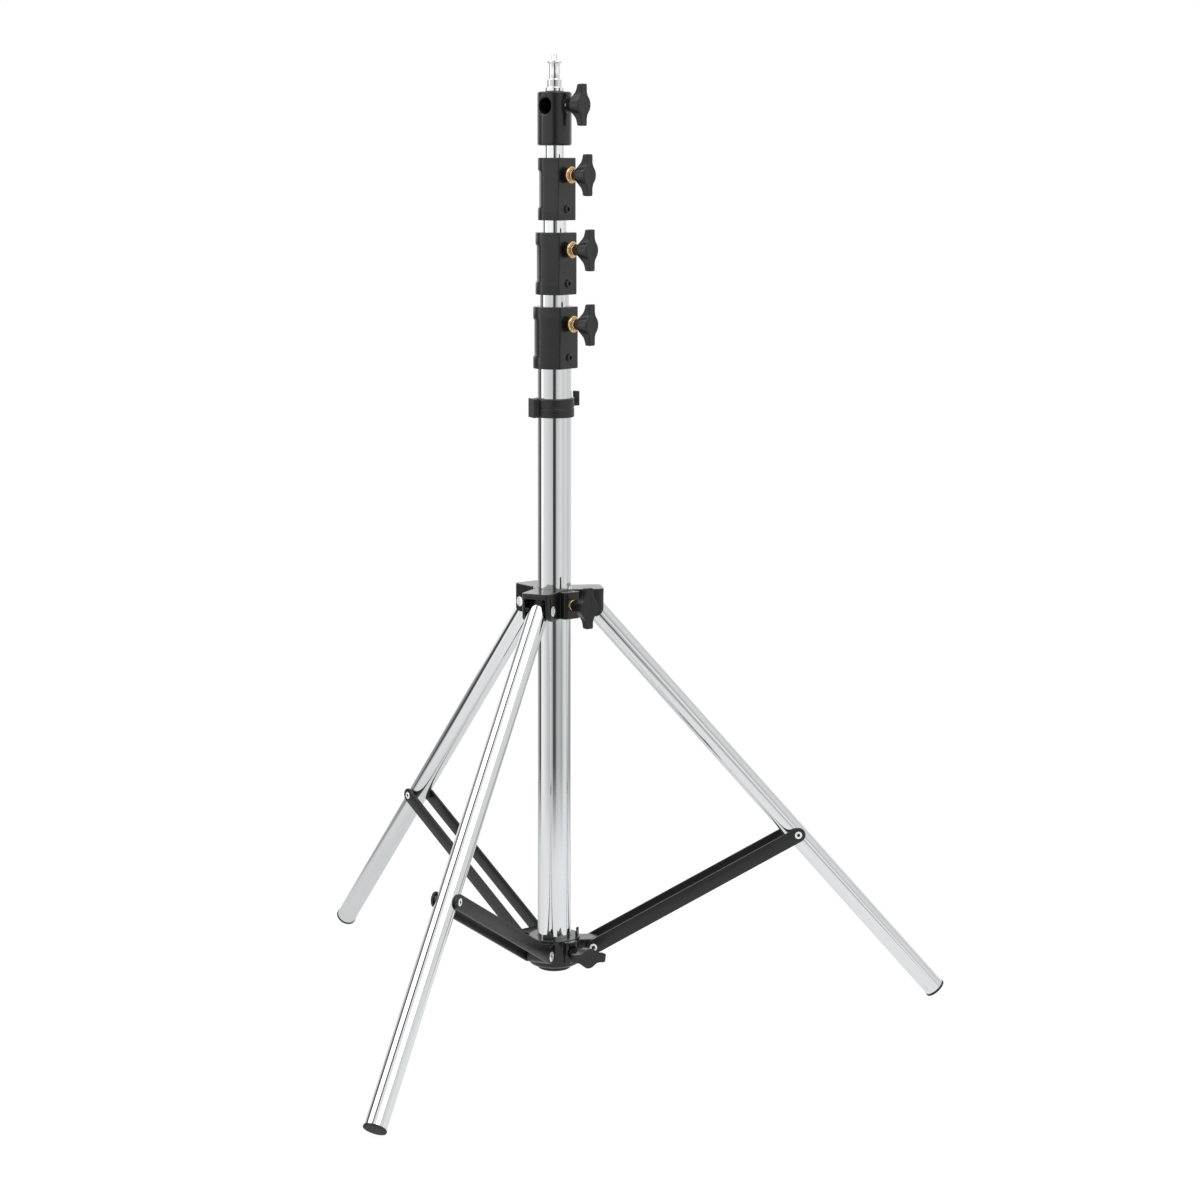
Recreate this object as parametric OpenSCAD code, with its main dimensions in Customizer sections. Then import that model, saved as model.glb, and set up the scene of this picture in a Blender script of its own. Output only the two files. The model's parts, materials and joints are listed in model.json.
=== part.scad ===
// Air-cushioned light stand: three folding legs with braces, a column and three telescoping risers,
// shown with the legs spread and the risers fully down.
// Millimetres, +Z up, origin on the floor under the axis of the column.
// Leg 1 points along +X, legs 2 and 3 follow at 120 and 240 degrees.

/* [Tubes] */
// Outside diameter of the column tube
column_od = 35; // [34:0.5:36]
// Difference in diameter between one telescoping tube and the next
tube_step = 5; // [4.8:0.1:5.4]
// Wall of the column and riser tubes
tube_wall = 1.5; // [1.2:0.1:1.7]
// Outside diameter of a leg tube
leg_od = 22; // [20:0.5:22.4]
// Wall of a leg tube
leg_wall = 1.5; // [1.2:0.1:2.2]

/* [Tripod] */
// Height of the leg pivots in the sliding hub
hub_pivot_z = 435.4; // [422:0.2:447]
// Height of the brace pivots on the base casting
base_pivot_z = 70.6; // [66:0.2:76]
// Distance of the leg and brace pivots from the axis of the column
pivot_r = 39.8; // [39:0.1:42]
// Distance along a leg from its hub pivot to its brace pivot
leg_brace_d = 332.8; // [327:0.2:341]
// Distance between the two pivots of a brace
brace_len = 247.3; // [241:0.1:253]
// Width of a brace bar
bar_w = 15.5; // [13:0.5:16]
// Thickness of a brace bar
bar_t = 2.5; // [2:0.1:3]
// Diameter of the pivot rivets
rivet_d = 6; // [5:0.1:6.6]
// Diameter of the heads of the rivets in the hub and the base
rivet_head_d = 10.7; // [9:0.1:11.4]
// Diameter of the heads of the rivets between braces and legs
brace_head_d = 8; // [7.6:0.1:10]
// Height of the rivet heads
rivet_head_h = 0.8; // [0.5:0.1:1.2]
// Diameter of the rubber plug that closes a leg
foot_d = 23; // [22.6:0.1:25]
// Thickness of the plug's rim
foot_rim = 1.6; // [1:0.1:3]
// How far the top of a leg tube stands past its pivot
leg_overrun = 6.6; // [5.4:0.1:7]

/* [Hub] */
// Height of the hub from its underside to its top
hub_h = 29.3; // [27.5:0.1:31]
// Height of the hub's top above the leg pivots
hub_top_rise = 18.5; // [18.3:0.1:20]
// Thickness of the hub's roof over the legs
hub_roof = 5.6; // [4:0.1:5.8]
// Wall of the hub's ring round the column
hub_wall = 5; // [4:0.1:5.5]
// Thickness of the ears beside a leg
ear_t = 4.2; // [3:0.1:5]
// Radius of the ears round the pivot
ear_r = 10.8; // [9:0.1:11.4]
// Corner radius of the hub's lobes seen from above
lobe_corner = 6; // [3:0.5:8]
// Distance of the hub's knob face from the column axis
hub_boss_r = 32; // [30:0.2:34]
// Height of the hub's clamp screw above the leg pivots
hub_knob_rise = 3.9; // [2.5:0.1:5]

/* [Base] */
// Height of the base casting's underside above the floor
base_bottom_z = 52.5; // [50:0.1:56]
// Height of the ring's top above the floor
base_top_z = 82; // [79:0.1:85]
// Wall of the base casting's ring
base_wall = 9.5; // [7:0.1:11]
// Thickness of the cap that closes the column's foot
cap_h = 5.7; // [4:0.1:8]
// Distance of the base's knob face from the column axis
base_boss_r = 33.2; // [32:0.2:35]
// Height of the upright lugs on the base ring
lug_h = 8.8; // [6:0.2:14]
// Turn of the base's wing knob away from upright
base_knob_turn = 82; // [0:1:180]

/* [Collars] */
// Height of the lowest collar's underside above the floor
collar_1_z = 682.7; // [678:0.1:705]
// Height of each collar
collar_h = 63.7; // [62:0.1:69]
// Length of riser that shows between one collar and the next
riser_show = 12.3; // [10:0.1:30]
// Depth to which a tube is seated in its collar
seat_depth = 36; // [30:1:38]
// Wall of a collar at its end bands
band_wall = 4.6; // [4:0.1:5.5]
// Height of the end bands
band_h = 13; // [8:0.5:18]
// Relief between the end bands
waist_relief = 1.4; // [0.5:0.1:2]
// Distance of the lowest collar's flat from the axis
collar_1_face = 19.2; // [19:0.1:22]
// Distance of the middle collar's flat from the axis
collar_2_face = 17.6; // [17:0.1:20]
// Distance of the upper collar's flat from the axis
collar_3_face = 16.3; // [15:0.1:18]
// Width of the flat that carries the knob
flat_w = 30; // [28:0.5:32]
// Height of the clamp screw above the collar's underside
clamp_rise = 46.2; // [45:0.1:49]
// Height of the set screw above the collar's underside
set_screw_rise = 11.5; // [9:0.1:20]
// Diameter of the set screw
set_screw_d = 8.8; // [6:0.2:9.4]

/* [Top] */
// Diameter of the top casting
top_od = 35.2; // [34.6:0.1:38]
// Height of the top casting
top_h = 54.6; // [53.5:0.1:60]
// Radius of the rounded rims of the top casting
top_round = 2.2; // [1:0.1:3]
// Depth to which the upper riser is seated in the top casting
top_seat = 24; // [18:1:25]
// Distance of the side receiver below the top face
receiver_drop = 14.5; // [13:0.1:16.5]
// Distance of the top clamp screw below the top face
top_knob_drop = 13.6; // [12.8:0.1:16]
// Diameter of the stud, a standard 5/8 inch
stud_d = 15.875; // [15.5:0.005:16.1]
// Length of the stud above its flange
stud_len = 26.4; // [24:0.1:32]
// Length of the stud below its flange
shank_len = 25; // [22:0.5:26]
// Diameter of the stud below its flange
shank_d = 15.4; // [15:0.1:15.6]
// Thickness of the stud's flange
flange_h = 4.7; // [3:0.1:6]
// Diameter of the stud's flange
flange_d = 19.6; // [18:0.2:22]
// Diameter of the relieved neck of the stud
neck_d = 11.8; // [10:0.2:13]
// Diameter of the threaded tip of the stud
tip_d = 6.35; // [6:0.05:8]
// Length of the threaded tip
tip_len = 7.4; // [6:0.1:12]

/* [Knobs] */
// Tip-to-tip length of a wing knob
wing_len = 42.5; // [38:0.5:45]
// Width of a wing knob across its middle
wing_w = 20.4; // [19:0.2:24]
// Width of a wing near its tip
wing_tip_w = 9.2; // [7:0.2:10]
// Depth of a knob from its neck to its face
knob_depth = 20; // [17:0.5:23]
// Thickness of a wing at its tip
wing_tip_t = 5.9; // [4:0.1:8]
// Diameter of a knob's neck
neck_knob_d = 11.6; // [10.6:0.2:12.4]
// Diameter of the clamp screws
screw_d = 8; // [6:0.1:8.4]
// Diameter of a brass bush at its flange
bush_d = 17.2; // [15:0.2:18]
// Length of a brass bush outside the casting
bush_len = 8.9; // [7:0.1:11]
// Length of the hub's and the base's slim bushes outside the casting
low_bush_len = 2.6; // [1:0.1:5]

/* [Cable clip] */
// Height of the clip's underside above the floor
clip_z = 632.3; // [575:0.1:640]
// Height of the clip's band
clip_h = 19.6; // [16:0.1:22]
// Wall of the clip's band
clip_wall = 2.5; // [2:0.1:3]
// Distance of the outside of the clip's hook from the column axis
clip_hook_reach = 27.9; // [26:0.1:29]

/* [Air cushion] */
// Height of a piston's head
piston_h = 12; // [10:0.5:16]
// Length of a piston's neck inside its tube
piston_neck = 10; // [6:0.5:16]
// Height of a piston seal
seal_h = 3; // [2:0.2:5]
// Diameter of the bleed hole through a piston
bleed_d = 2; // [1:0.1:3]

/* [Fits] */
// Radial clearance of a running fit
run_fit = 0.08; // [0.03:0.01:0.1]
// Radial clearance of pieces that are fixed together
seat_fit = 0.05; // [0.02:0.01:0.1]
// Gap between a piece and the stop or face that it works against
free_gap = 0.3; // [0.2:0.05:0.4]

/* [Hidden] */

$fn = 64;
cut = 1;                  // how far a cut runs past the face that it opens

black = "#2b2b2d";
chrome = "#d9dadc";
steel = "#b9bbbe";
gold = "#d8a54a";
nylon = "#4a4a4d";
rubber = "#1d1d1f";

// Directions seen from above, in degrees
clamp_angle = 316.2;      // knobs of the collars and the top casting
foot_knob_angle = 300;    // knobs of the hub and the base, midway between legs 3 and 1
receiver_angle = 226.2;
lug_angles = [247, 344, 96];
clip_lug_angle = 195;
clip_hook_angle = 23;
hub_top_screw_angle = 320;

// Tubes
column_r = column_od / 2;
riser_r = [column_r, column_r - tube_step / 2, column_r - tube_step, column_r - 1.5 * tube_step];
function bore_r(i) = riser_r[i] - tube_wall;
leg_r = leg_od / 2;

// Collars, numbered 1 to 3 from the lowest
collar_pitch = collar_h + riser_show;
function collar_z(i) = collar_1_z + (i - 1) * collar_pitch;
collar_face = [0, collar_1_face, collar_2_face, collar_3_face];
function collar_outer(i) = riser_r[i - 1] + band_wall;
guide_step = 0.4;                       // shoulder that stops the tube in its collar
function pocket_r(i) = riser_r[i - 1] - guide_step;
lip_h = 2.5;                            // lip over the guide
function tube_top(i) = collar_z(i) + seat_depth;
top_z = collar_z(3) + collar_pitch;     // underside of the top casting
top_face_z = top_z + top_h;

// Stack of pistons at the foot of the column
cap_lip = 0.4;                          // of the cap over the tube's outside
plug_neck = 10;
column_z = base_bottom_z;
plug_top = column_z + plug_neck;
piston_pitch = piston_h + piston_neck + free_gap;
function piston_z(i) = plug_top + free_gap + (i - 1) * piston_pitch;
function riser_z(i) = piston_z(i) + piston_h;

// Tripod, worked out from its pivots
pivot_h = hub_pivot_z - base_pivot_z;
leg_angle = acos((pivot_h * pivot_h + leg_brace_d * leg_brace_d - brace_len * brace_len)
    / (2 * pivot_h * leg_brace_d));
brace_angle = acos(leg_brace_d * sin(leg_angle) / brace_len);
leg_len = (hub_pivot_z - foot_d / 2 * sin(leg_angle)) / cos(leg_angle);
bar_free = 0.5;                         // between a leg and the bars beside it
bar_gap = leg_r + bar_free;
bar_out = bar_gap + bar_t;
tongue_half = bar_gap - free_gap;
ear_free = 0.8;                         // between a leg and the ears beside it
ear_in = leg_r + ear_free;
ear_out = ear_in + ear_t;
hub_top_z = hub_pivot_z + hub_top_rise;
hub_z = hub_top_z - hub_h;
hub_ring_r = column_r + hub_wall;
lobe_r = pivot_r + ear_r;
hub_knob_z = hub_pivot_z + hub_knob_rise;
boss_w = 21;                            // width of the block that carries the hub's clamp screw
base_boss_w = 15;                       // and of the one on the base
sleeve_wall = 1.2;
sleeve_r = rivet_d / 2 + sleeve_wall;
base_ring_r = column_r + base_wall;
tongue_r = bar_w / 2;
lug_in = 3.9;                           // from the ring's outside to the inside of a lug
lug_t = 2.6;
lug_w = 10;
lug_tip_w = 4;
lug_step = 2.4;                         // from a lug's shoulders to its tip
lug_root = 4;
lug_shift = 2.2;                        // of a lug's tip to one side

// Clamp screws and wing knobs
clamp_bush_r = screw_d / 2 + 2;
wing_fillet = 8;
socket_depth = 0.6 * knob_depth;        // of the screw's seat in its knob
top_knob_seat = top_od / 2 + 0.6;       // where the neck of the top knob starts

// Pieces placed round the column: local z points outwards, local -x points up
module outwards(angle, z) {
    translate([0, 0, z]) rotate([0, 0, angle]) rotate([0, 90, 0]) children();
}

// A leg's own frame: x outwards, y across the leg, z up, for leg i of 0 to 2
module at_leg(i) {
    rotate([0, 0, 120 * i]) children();
}

// A piece lying across a leg's plane at a pivot, centred on the plane
module across(r, z, radius, half) {
    translate([r, half, z]) rotate([90, 0, 0]) cylinder(r = radius, h = 2 * half);
}

module ring(outer, inner, z, h) {
    translate([0, 0, z]) difference() {
        cylinder(r = outer, h = h);
        translate([0, 0, -cut]) cylinder(r = inner, h = h + 2 * cut);
    }
}

// Rivet along y with rounded heads and a hollow in each end
module rivet(half, head_d) {
    head_r = head_d / 2;
    hollow_r = rivet_d / 2 - 0.9;
    hollow = 2;
    rotate([90, 0, 0]) difference() {
        union() {
            translate([0, 0, -half]) cylinder(r = rivet_d / 2, h = 2 * half);
            for (side = [0, 1]) mirror([0, 0, side]) translate([0, 0, half])
                cylinder(r1 = head_r, r2 = head_r - 0.7 * rivet_head_h, h = rivet_head_h);
        }
        for (side = [0, 1]) mirror([0, 0, side]) translate([0, 0, half - hollow])
            cylinder(r = hollow_r, h = hollow + rivet_head_h + cut);
    }
}

// Tubes of the mast
module column_tube() {
    color(chrome) ring(column_r, bore_r(0), column_z, tube_top(1) - column_z);
}

module riser_tube(i) {
    top = i < 3 ? tube_top(i + 1) : top_z + top_seat;
    color(chrome) ring(riser_r[i], bore_r(i), riser_z(i), top - riser_z(i));
}

module column_plug() {
    edge = 2.6;
    r = column_r + cap_lip;
    color(rubber) {
        translate([0, 0, column_z - cap_h]) rotate_extrude() polygon(concat(
            [[0, 0]], arc([r - edge, edge], edge, 270, 360, 6), [[r, cap_h], [0, cap_h]]
        ));
        translate([0, 0, column_z - cut]) cylinder(r = bore_r(0) - seat_fit, h = plug_neck + cut);
    }
}

// Piston at the foot of riser i: it closes the riser and carries the seal that traps the air
piston_gap = 0.25;
seal_in = 2.2;                          // depth of the seal's groove
function piston_r(i) = bore_r(i - 1) - piston_gap;
function seal_z(i) = piston_z(i) + (piston_h - seal_h) / 2;

module riser_piston(i) {
    color(nylon) difference() {
        union() {
            translate([0, 0, piston_z(i)]) cylinder(r = piston_r(i), h = piston_h);
            translate([0, 0, riser_z(i) - cut]) cylinder(r = bore_r(i) - seat_fit, h = piston_neck + cut);
        }
        ring(piston_r(i) + cut, piston_r(i) - seal_in, seal_z(i), seal_h);
        translate([0, 0, piston_z(i) - cut]) cylinder(d = bleed_d, h = piston_h + piston_neck + 2 * cut);
    }
}

module riser_seal(i) {
    color(rubber) ring(bore_r(i - 1) - run_fit, piston_r(i) - seal_in + seat_fit, seal_z(i) + seat_fit,
        seal_h - 2 * seat_fit);
}

// Cross-section of a collar: a round back with flat cheeks running out to the knob's flat.
// The cheeks start where they touch the round back, and all of it ends at the flat.
module collar_section(face, back, half) {
    corner = [face, half];
    touch = atan2(corner.y, corner.x) + acos(back / norm(corner));
    root = back * [cos(touch), sin(touch)];
    past = corner + (corner - root) / 4;
    intersection() {
        union() {
            circle(r = back);
            polygon([[past.x, -past.y], past, root, [root.x, -root.y]]);
        }
        translate([-back - cut, -2 * half]) square([back + cut + face, 4 * half]);
    }
}

// Casting that seats the upper end of tube i - 1 and clamps riser i
module collar(i) {
    z = collar_z(i);
    outer = collar_outer(i);
    back = outer - waist_relief;
    face = collar_face[i];
    reach = norm([face, flat_w / 2]) + 0.2;
    edge = 1;
    color(black) difference() {
        translate([0, 0, z]) rotate([0, 0, clamp_angle]) intersection() {
            union() {
                linear_extrude(collar_h) collar_section(face, back, flat_w / 2 - waist_relief / 2);
                for (foot = [0, collar_h - band_h]) translate([0, 0, foot]) intersection() {
                    linear_extrude(band_h) collar_section(face, outer, flat_w / 2);
                    rotate_extrude() polygon([
                        [0, 0], [outer - edge, 0], [outer, edge], [reach, edge],
                        [reach, band_h - edge], [outer, band_h - edge], [back, band_h], [0, band_h]
                    ]);
                }
            }
            rotate_extrude() polygon([
                [0, 0], [reach - 2 * edge, 0], [reach, 2 * edge],
                [reach, collar_h - 2 * edge], [reach - 2 * edge, collar_h], [0, collar_h]
            ]);
        }
        translate([0, 0, z - cut]) cylinder(r = riser_r[i - 1] + seat_fit, h = seat_depth + cut);
        translate([0, 0, z]) cylinder(r = pocket_r(i), h = collar_h - lip_h);
        translate([0, 0, z]) cylinder(r = riser_r[i] + free_gap, h = collar_h + cut);
        outwards(clamp_angle, z + clamp_rise) cylinder(r = clamp_bush_r + seat_fit, h = face + cut);
        outwards(clamp_angle, z + set_screw_rise) cylinder(r = set_screw_d / 2 + seat_fit, h = face + cut);
    }
}

// Nylon sleeve that guides riser i in its collar, with a window for the clamp screw
module collar_guide(i) {
    z = tube_top(i);
    color(nylon) difference() {
        ring(pocket_r(i) - seat_fit, riser_r[i] + run_fit, z, collar_z(i) + collar_h - lip_h - z);
        outwards(clamp_angle, collar_z(i) + clamp_rise) cylinder(r = screw_d / 2 + free_gap, h = column_r);
    }
}

// Threaded bush pressed into a casting's flat, domed where it shows, bored for the clamp screw
module clamp_bush(seat, inner) {
    color(gold) difference() {
        union() {
            translate([0, 0, inner]) cylinder(r = clamp_bush_r, h = seat - inner + cut);
            translate([0, 0, seat]) rotate_extrude() polygon([
                [0, 0], [bush_d / 2 - 0.6, 0], [bush_d / 2, 0.6], [bush_d / 2, 2.4],
                [bush_d / 2 - 0.9, 3.8], [clamp_bush_r + 0.4, bush_len - 0.8],
                [clamp_bush_r - 0.4, bush_len], [0, bush_len]
            ]);
        }
        translate([0, 0, inner - cut]) cylinder(r = screw_d / 2 + run_fit, h = seat + bush_len);
    }
}

// Slim plain bush, hardly proud of its casting
module slim_bush(seat, inner) {
    color(gold) translate([0, 0, inner]) difference() {
        cylinder(r = clamp_bush_r, h = seat + low_bush_len - inner);
        translate([0, 0, -cut]) cylinder(r = screw_d / 2 + run_fit, h = seat + bush_len);
    }
}

module collar_bush(i) {
    outwards(clamp_angle, collar_z(i) + clamp_rise) clamp_bush(collar_face[i], pocket_r(i) + seat_fit);
}

module collar_set_screw(i) {
    proud = 1.8;
    socket = 3;
    bevel = 0.8;
    length = collar_face[i] + proud - riser_r[i - 1] - seat_fit;
    color(black) outwards(clamp_angle, collar_z(i) + set_screw_rise)
        translate([0, 0, riser_r[i - 1] + seat_fit]) difference() {
            union() {
                cylinder(d = set_screw_d, h = length - bevel);
                translate([0, 0, length - bevel])
                    cylinder(d1 = set_screw_d, d2 = set_screw_d - 2 * bevel, h = bevel);
            }
            translate([0, 0, length - socket]) cylinder(d = set_screw_d / 2, h = socket + cut, $fn = 6);
        }
}

// Outline of a wing knob, wings along x: a round middle that fillets into two straight wings
function arc(centre, r, from, to, steps) =
    [for (k = [0 : steps]) let (a = from + (to - from) * k / steps) centre + r * [cos(a), sin(a)]];

function flipped(points, sx, sy) =
    [for (k = [len(points) - 1 : -1 : 0]) [sx * points[k].x, sy * points[k].y]];

module wing_outline() {
    mid = wing_w / 2;
    half = wing_tip_w / 2;
    tip = wing_len / 2;
    round = 1.7;
    fx = sqrt(pow(mid + wing_fillet, 2) - pow(half + wing_fillet, 2));
    lean = atan2(half + wing_fillet, fx);
    quarter = concat(
        arc([0, 0], mid, 88, lean, 6),
        arc([fx, half + wing_fillet], wing_fillet, 180 + lean, 270, 6),
        arc([tip - round, half - round], round, 90, 0, 4)
    );
    right = concat(quarter, flipped(quarter, 1, -1));
    polygon(concat(right, flipped(right, -1, 1)));
}

// Wing knob on a screw's axis: its back tapers from the wings to the neck, which can be longer
module wing_knob(turn, more) {
    reach = wing_len / 2 + 0.1;
    neck = neck_knob_d / 2;
    color(black) rotate([0, 0, turn]) difference() {
        intersection() {
            translate([0, 0, -more]) linear_extrude(knob_depth + more) wing_outline();
            rotate_extrude() polygon([
                [0, -more], [neck - 0.5, -more], [neck, 0.5 - more], [neck, 2],
                [reach, knob_depth - wing_tip_t], [reach, knob_depth - 1.2],
                [reach - 1.2, knob_depth - 0.2], [wing_w / 2, knob_depth], [0, knob_depth]
            ]);
        }
        translate([0, 0, -more - cut]) cylinder(r = screw_d / 2 + seat_fit, h = socket_depth + more + cut);
    }
}

// Clamp screw from its tip to its seat inside the knob, distances from the column axis
module clamp_screw(tip, seat) {
    chamfer = 0.8;
    end = seat + socket_depth - seat_fit;
    color(steel) translate([0, 0, tip]) {
        cylinder(r1 = screw_d / 2 - chamfer, r2 = screw_d / 2, h = chamfer);
        translate([0, 0, chamfer]) cylinder(d = screw_d, h = end - tip - chamfer);
    }
}

function collar_knob_r(i) = collar_face[i] + bush_len + free_gap;

module collar_knob(i) {
    outwards(clamp_angle, collar_z(i) + clamp_rise) translate([0, 0, collar_knob_r(i)]) wing_knob(0, 0);
}

module collar_screw(i) {
    outwards(clamp_angle, collar_z(i) + clamp_rise) clamp_screw(riser_r[i] + free_gap, collar_knob_r(i));
}

// Top casting with an upright socket for the stud and a side receiver of the same size
socket_r = stud_d / 2 + run_fit;
receiver_z = top_face_z - receiver_drop;
top_knob_z = top_face_z - top_knob_drop;

module top_casting() {
    r = top_od / 2;
    receiver_free = 0.08;               // the receiver is bored a little wider than the socket
    chamfer = 3;
    recess = 3.6;
    color(black) difference() {
        translate([0, 0, top_z]) rotate_extrude() polygon(concat(
            [[0, 0]],
            arc([r - top_round, top_round], top_round, 270, 360, 6),
            arc([r - top_round, top_h - top_round], top_round, 0, 90, 6),
            [[0, top_h]]
        ));
        translate([0, 0, top_z - cut]) cylinder(r = riser_r[3] + seat_fit, h = top_seat + cut);
        translate([0, 0, top_face_z - shank_len - 1]) cylinder(r = socket_r, h = shank_len + 1 + cut);
        outwards(receiver_angle, receiver_z) {
            cylinder(r = socket_r + receiver_free, h = r + cut);
            translate([0, 0, r + cut - chamfer])
                cylinder(r1 = socket_r, r2 = socket_r + chamfer, h = chamfer);
        }
        outwards(clamp_angle, top_knob_z) {
            cylinder(r = screw_d / 2 + run_fit, h = r + cut);
            translate([0, 0, r - recess])
                cylinder(r1 = screw_d / 2 + 1, r2 = neck_knob_d / 2 + 4, h = recess + cut);
        }
    }
}

module spigot() {
    r = stud_d / 2;
    shank = shank_d / 2;
    neck = neck_d / 2;
    body = 8;
    shoulder = 2.2;
    bevel = 0.7;
    up = flange_h + stud_len;
    color(steel) translate([0, 0, top_face_z]) rotate_extrude() polygon([
        [0, -shank_len], [shank - bevel, -shank_len], [shank, -shank_len + bevel], [shank, -shank_len + 4],
        [neck, -shank_len + 5], [neck, -body - 1], [shank, -body], [shank, 0],
        [flange_d / 2 - bevel, 0], [flange_d / 2, bevel], [flange_d / 2, flange_h - bevel],
        [flange_d / 2 - bevel, flange_h], [r, flange_h], [r, flange_h + body - 0.5],
        [neck, flange_h + body], [neck, up - shoulder], [r, up - shoulder], [r, up - bevel],
        [r - bevel, up], [tip_d / 2, up], [tip_d / 2, up + tip_len - bevel],
        [tip_d / 2 - bevel, up + tip_len], [0, up + tip_len]
    ]);
}

module top_knob() {
    outwards(clamp_angle, top_knob_z) translate([0, 0, top_knob_seat]) wing_knob(0, 0);
}

module top_screw() {
    shoulder = 2.4;
    outwards(clamp_angle, top_knob_z) {
        clamp_screw(stud_d / 2 + free_gap, top_knob_seat);
        color(steel) translate([0, 0, top_knob_seat - shoulder])
            cylinder(r = neck_knob_d / 2 - 0.3, h = shoulder - seat_fit);
    }
}

// Block on a casting's ring that carries a clamp bush
module clamp_boss(reach, z, h, w) {
    corner = 4;
    translate([0, 0, z]) rotate([0, 0, foot_knob_angle]) linear_extrude(h) {
        translate([0, -w / 2]) square([reach - corner, w]);
        translate([0, corner - w / 2]) square([reach, w - 2 * corner]);
        for (side = [-1, 1]) translate([reach - corner, side * (w / 2 - corner)]) circle(r = corner);
    }
}

// Sliding hub: a ring round the column with three roofed clevises for the legs
module hub_lobe() {
    inner = column_r + cut;
    intersection() {
        translate([0, 0, hub_z]) linear_extrude(hub_h) {
            translate([inner, -ear_out]) square([lobe_r - lobe_corner - inner, 2 * ear_out]);
            translate([inner, lobe_corner - ear_out]) square([lobe_r - inner, 2 * (ear_out - lobe_corner)]);
            for (side = [-1, 1]) translate([lobe_r - lobe_corner, side * (ear_out - lobe_corner)])
                circle(r = lobe_corner);
        }
        translate([0, ear_out, 0]) rotate([90, 0, 0]) linear_extrude(2 * ear_out) {
            translate([inner, hub_z]) square([pivot_r - inner, hub_h]);
            translate([inner, hub_pivot_z]) square([lobe_r - inner, hub_top_rise]);
            translate([pivot_r, hub_pivot_z]) circle(r = ear_r);
        }
    }
}

hub_screw_r = hub_ring_r - 2.3;         // where the small screw on the hub's top stands
hub_screw_stem = 1.2;
hub_screw_len = 7;

module hub_casting() {
    slot_in = hub_ring_r + 0.6;
    color(black) difference() {
        union() {
            translate([0, 0, hub_z]) cylinder(r = hub_ring_r, h = hub_h);
            for (i = [0 : 2]) at_leg(i) hub_lobe();
            clamp_boss(hub_boss_r, hub_z, hub_h - 1.2, boss_w);
        }
        translate([0, 0, hub_z - cut]) cylinder(r = column_r + run_fit, h = hub_h + 2 * cut);
        for (i = [0 : 2]) at_leg(i) {
            translate([slot_in, -ear_in, hub_z - ear_r])
                cube([lobe_r, 2 * ear_in, hub_top_z - hub_roof - hub_z + ear_r]);
            across(pivot_r, hub_pivot_z, rivet_d / 2 + seat_fit, ear_out + cut);
        }
        outwards(foot_knob_angle, hub_knob_z) cylinder(r = clamp_bush_r + seat_fit, h = hub_boss_r + cut);
        rotate([0, 0, hub_top_screw_angle]) translate([hub_screw_r, 0, hub_top_z - hub_screw_len - 1])
            cylinder(r = hub_screw_stem + seat_fit, h = hub_screw_len + 1 + cut);
    }
}

module hub_bush() {
    outwards(foot_knob_angle, hub_knob_z) slim_bush(hub_boss_r, column_r + 1.5);
}

module hub_rivets() {
    color(chrome) for (i = [0 : 2]) at_leg(i) translate([pivot_r, 0, hub_pivot_z])
        rivet(ear_out, rivet_head_d);
}

// Small screw with a slotted head on top of the hub
module hub_top_screw() {
    head_r = 2.1;
    head_h = 2.4;
    slot = 0.6;
    color(steel) rotate([0, 0, hub_top_screw_angle]) translate([hub_screw_r, 0, hub_top_z]) difference() {
        union() {
            translate([0, 0, -hub_screw_len]) cylinder(r = hub_screw_stem, h = hub_screw_len + cut);
            cylinder(r1 = head_r, r2 = head_r - 0.3, h = head_h);
        }
        translate([-head_r - cut, -slot / 2, head_h - 0.9]) cube([2 * (head_r + cut), slot, 1 + cut]);
    }
}

module hub_knob() {
    outwards(foot_knob_angle, hub_knob_z) translate([0, 0, hub_boss_r + bush_len + free_gap])
        wing_knob(0, bush_len - low_bush_len);
}

module hub_screw() {
    outwards(foot_knob_angle, hub_knob_z)
        clamp_screw(column_r + free_gap, hub_boss_r + bush_len + free_gap);
}

// Base casting at the foot of the column, with a tongue for each pair of brace bars
module base_casting() {
    edge = 2;
    nose = 8.2;                         // of a tongue's flat top beyond its pivot
    rise = tongue_r + 0.5;              // of that top over the pivot
    boss_bottom = base_pivot_z - 11.5;
    boss_h = base_top_z - 0.8 - boss_bottom;
    color(black) difference() {
        union() {
            translate([0, 0, base_bottom_z]) cylinder(r1 = base_ring_r - edge, r2 = base_ring_r, h = edge);
            translate([0, 0, base_bottom_z + edge])
                cylinder(r = base_ring_r, h = base_top_z - base_bottom_z - edge);
            for (i = [0 : 2]) at_leg(i)
                translate([0, tongue_half, 0]) rotate([90, 0, 0]) linear_extrude(2 * tongue_half) {
                    translate([column_r + cut, base_pivot_z - tongue_r])
                        square([pivot_r - column_r - cut, 2 * tongue_r]);
                    translate([column_r + cut, base_pivot_z])
                        square([pivot_r + nose - column_r - cut, rise]);
                    translate([pivot_r, base_pivot_z]) circle(r = tongue_r);
                }
            clamp_boss(base_boss_r, boss_bottom, boss_h, base_boss_w);
            for (a = lug_angles) rotate([0, 0, a])
                translate([base_ring_r - lug_in, 0, base_top_z - lug_root]) {
                    translate([0, -lug_w / 2, 0]) cube([lug_t, lug_w, lug_root + lug_h - lug_step]);
                    translate([0, lug_shift - lug_tip_w / 2, 0]) cube([lug_t, lug_tip_w, lug_root + lug_h]);
                }
        }
        translate([0, 0, base_bottom_z - cut]) cylinder(r = column_r + seat_fit, h = base_top_z);
        for (i = [0 : 2]) at_leg(i) across(pivot_r, base_pivot_z, rivet_d / 2 + seat_fit, tongue_half + cut);
        outwards(foot_knob_angle, base_pivot_z) cylinder(r = clamp_bush_r + seat_fit, h = base_boss_r + cut);
    }
}

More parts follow.
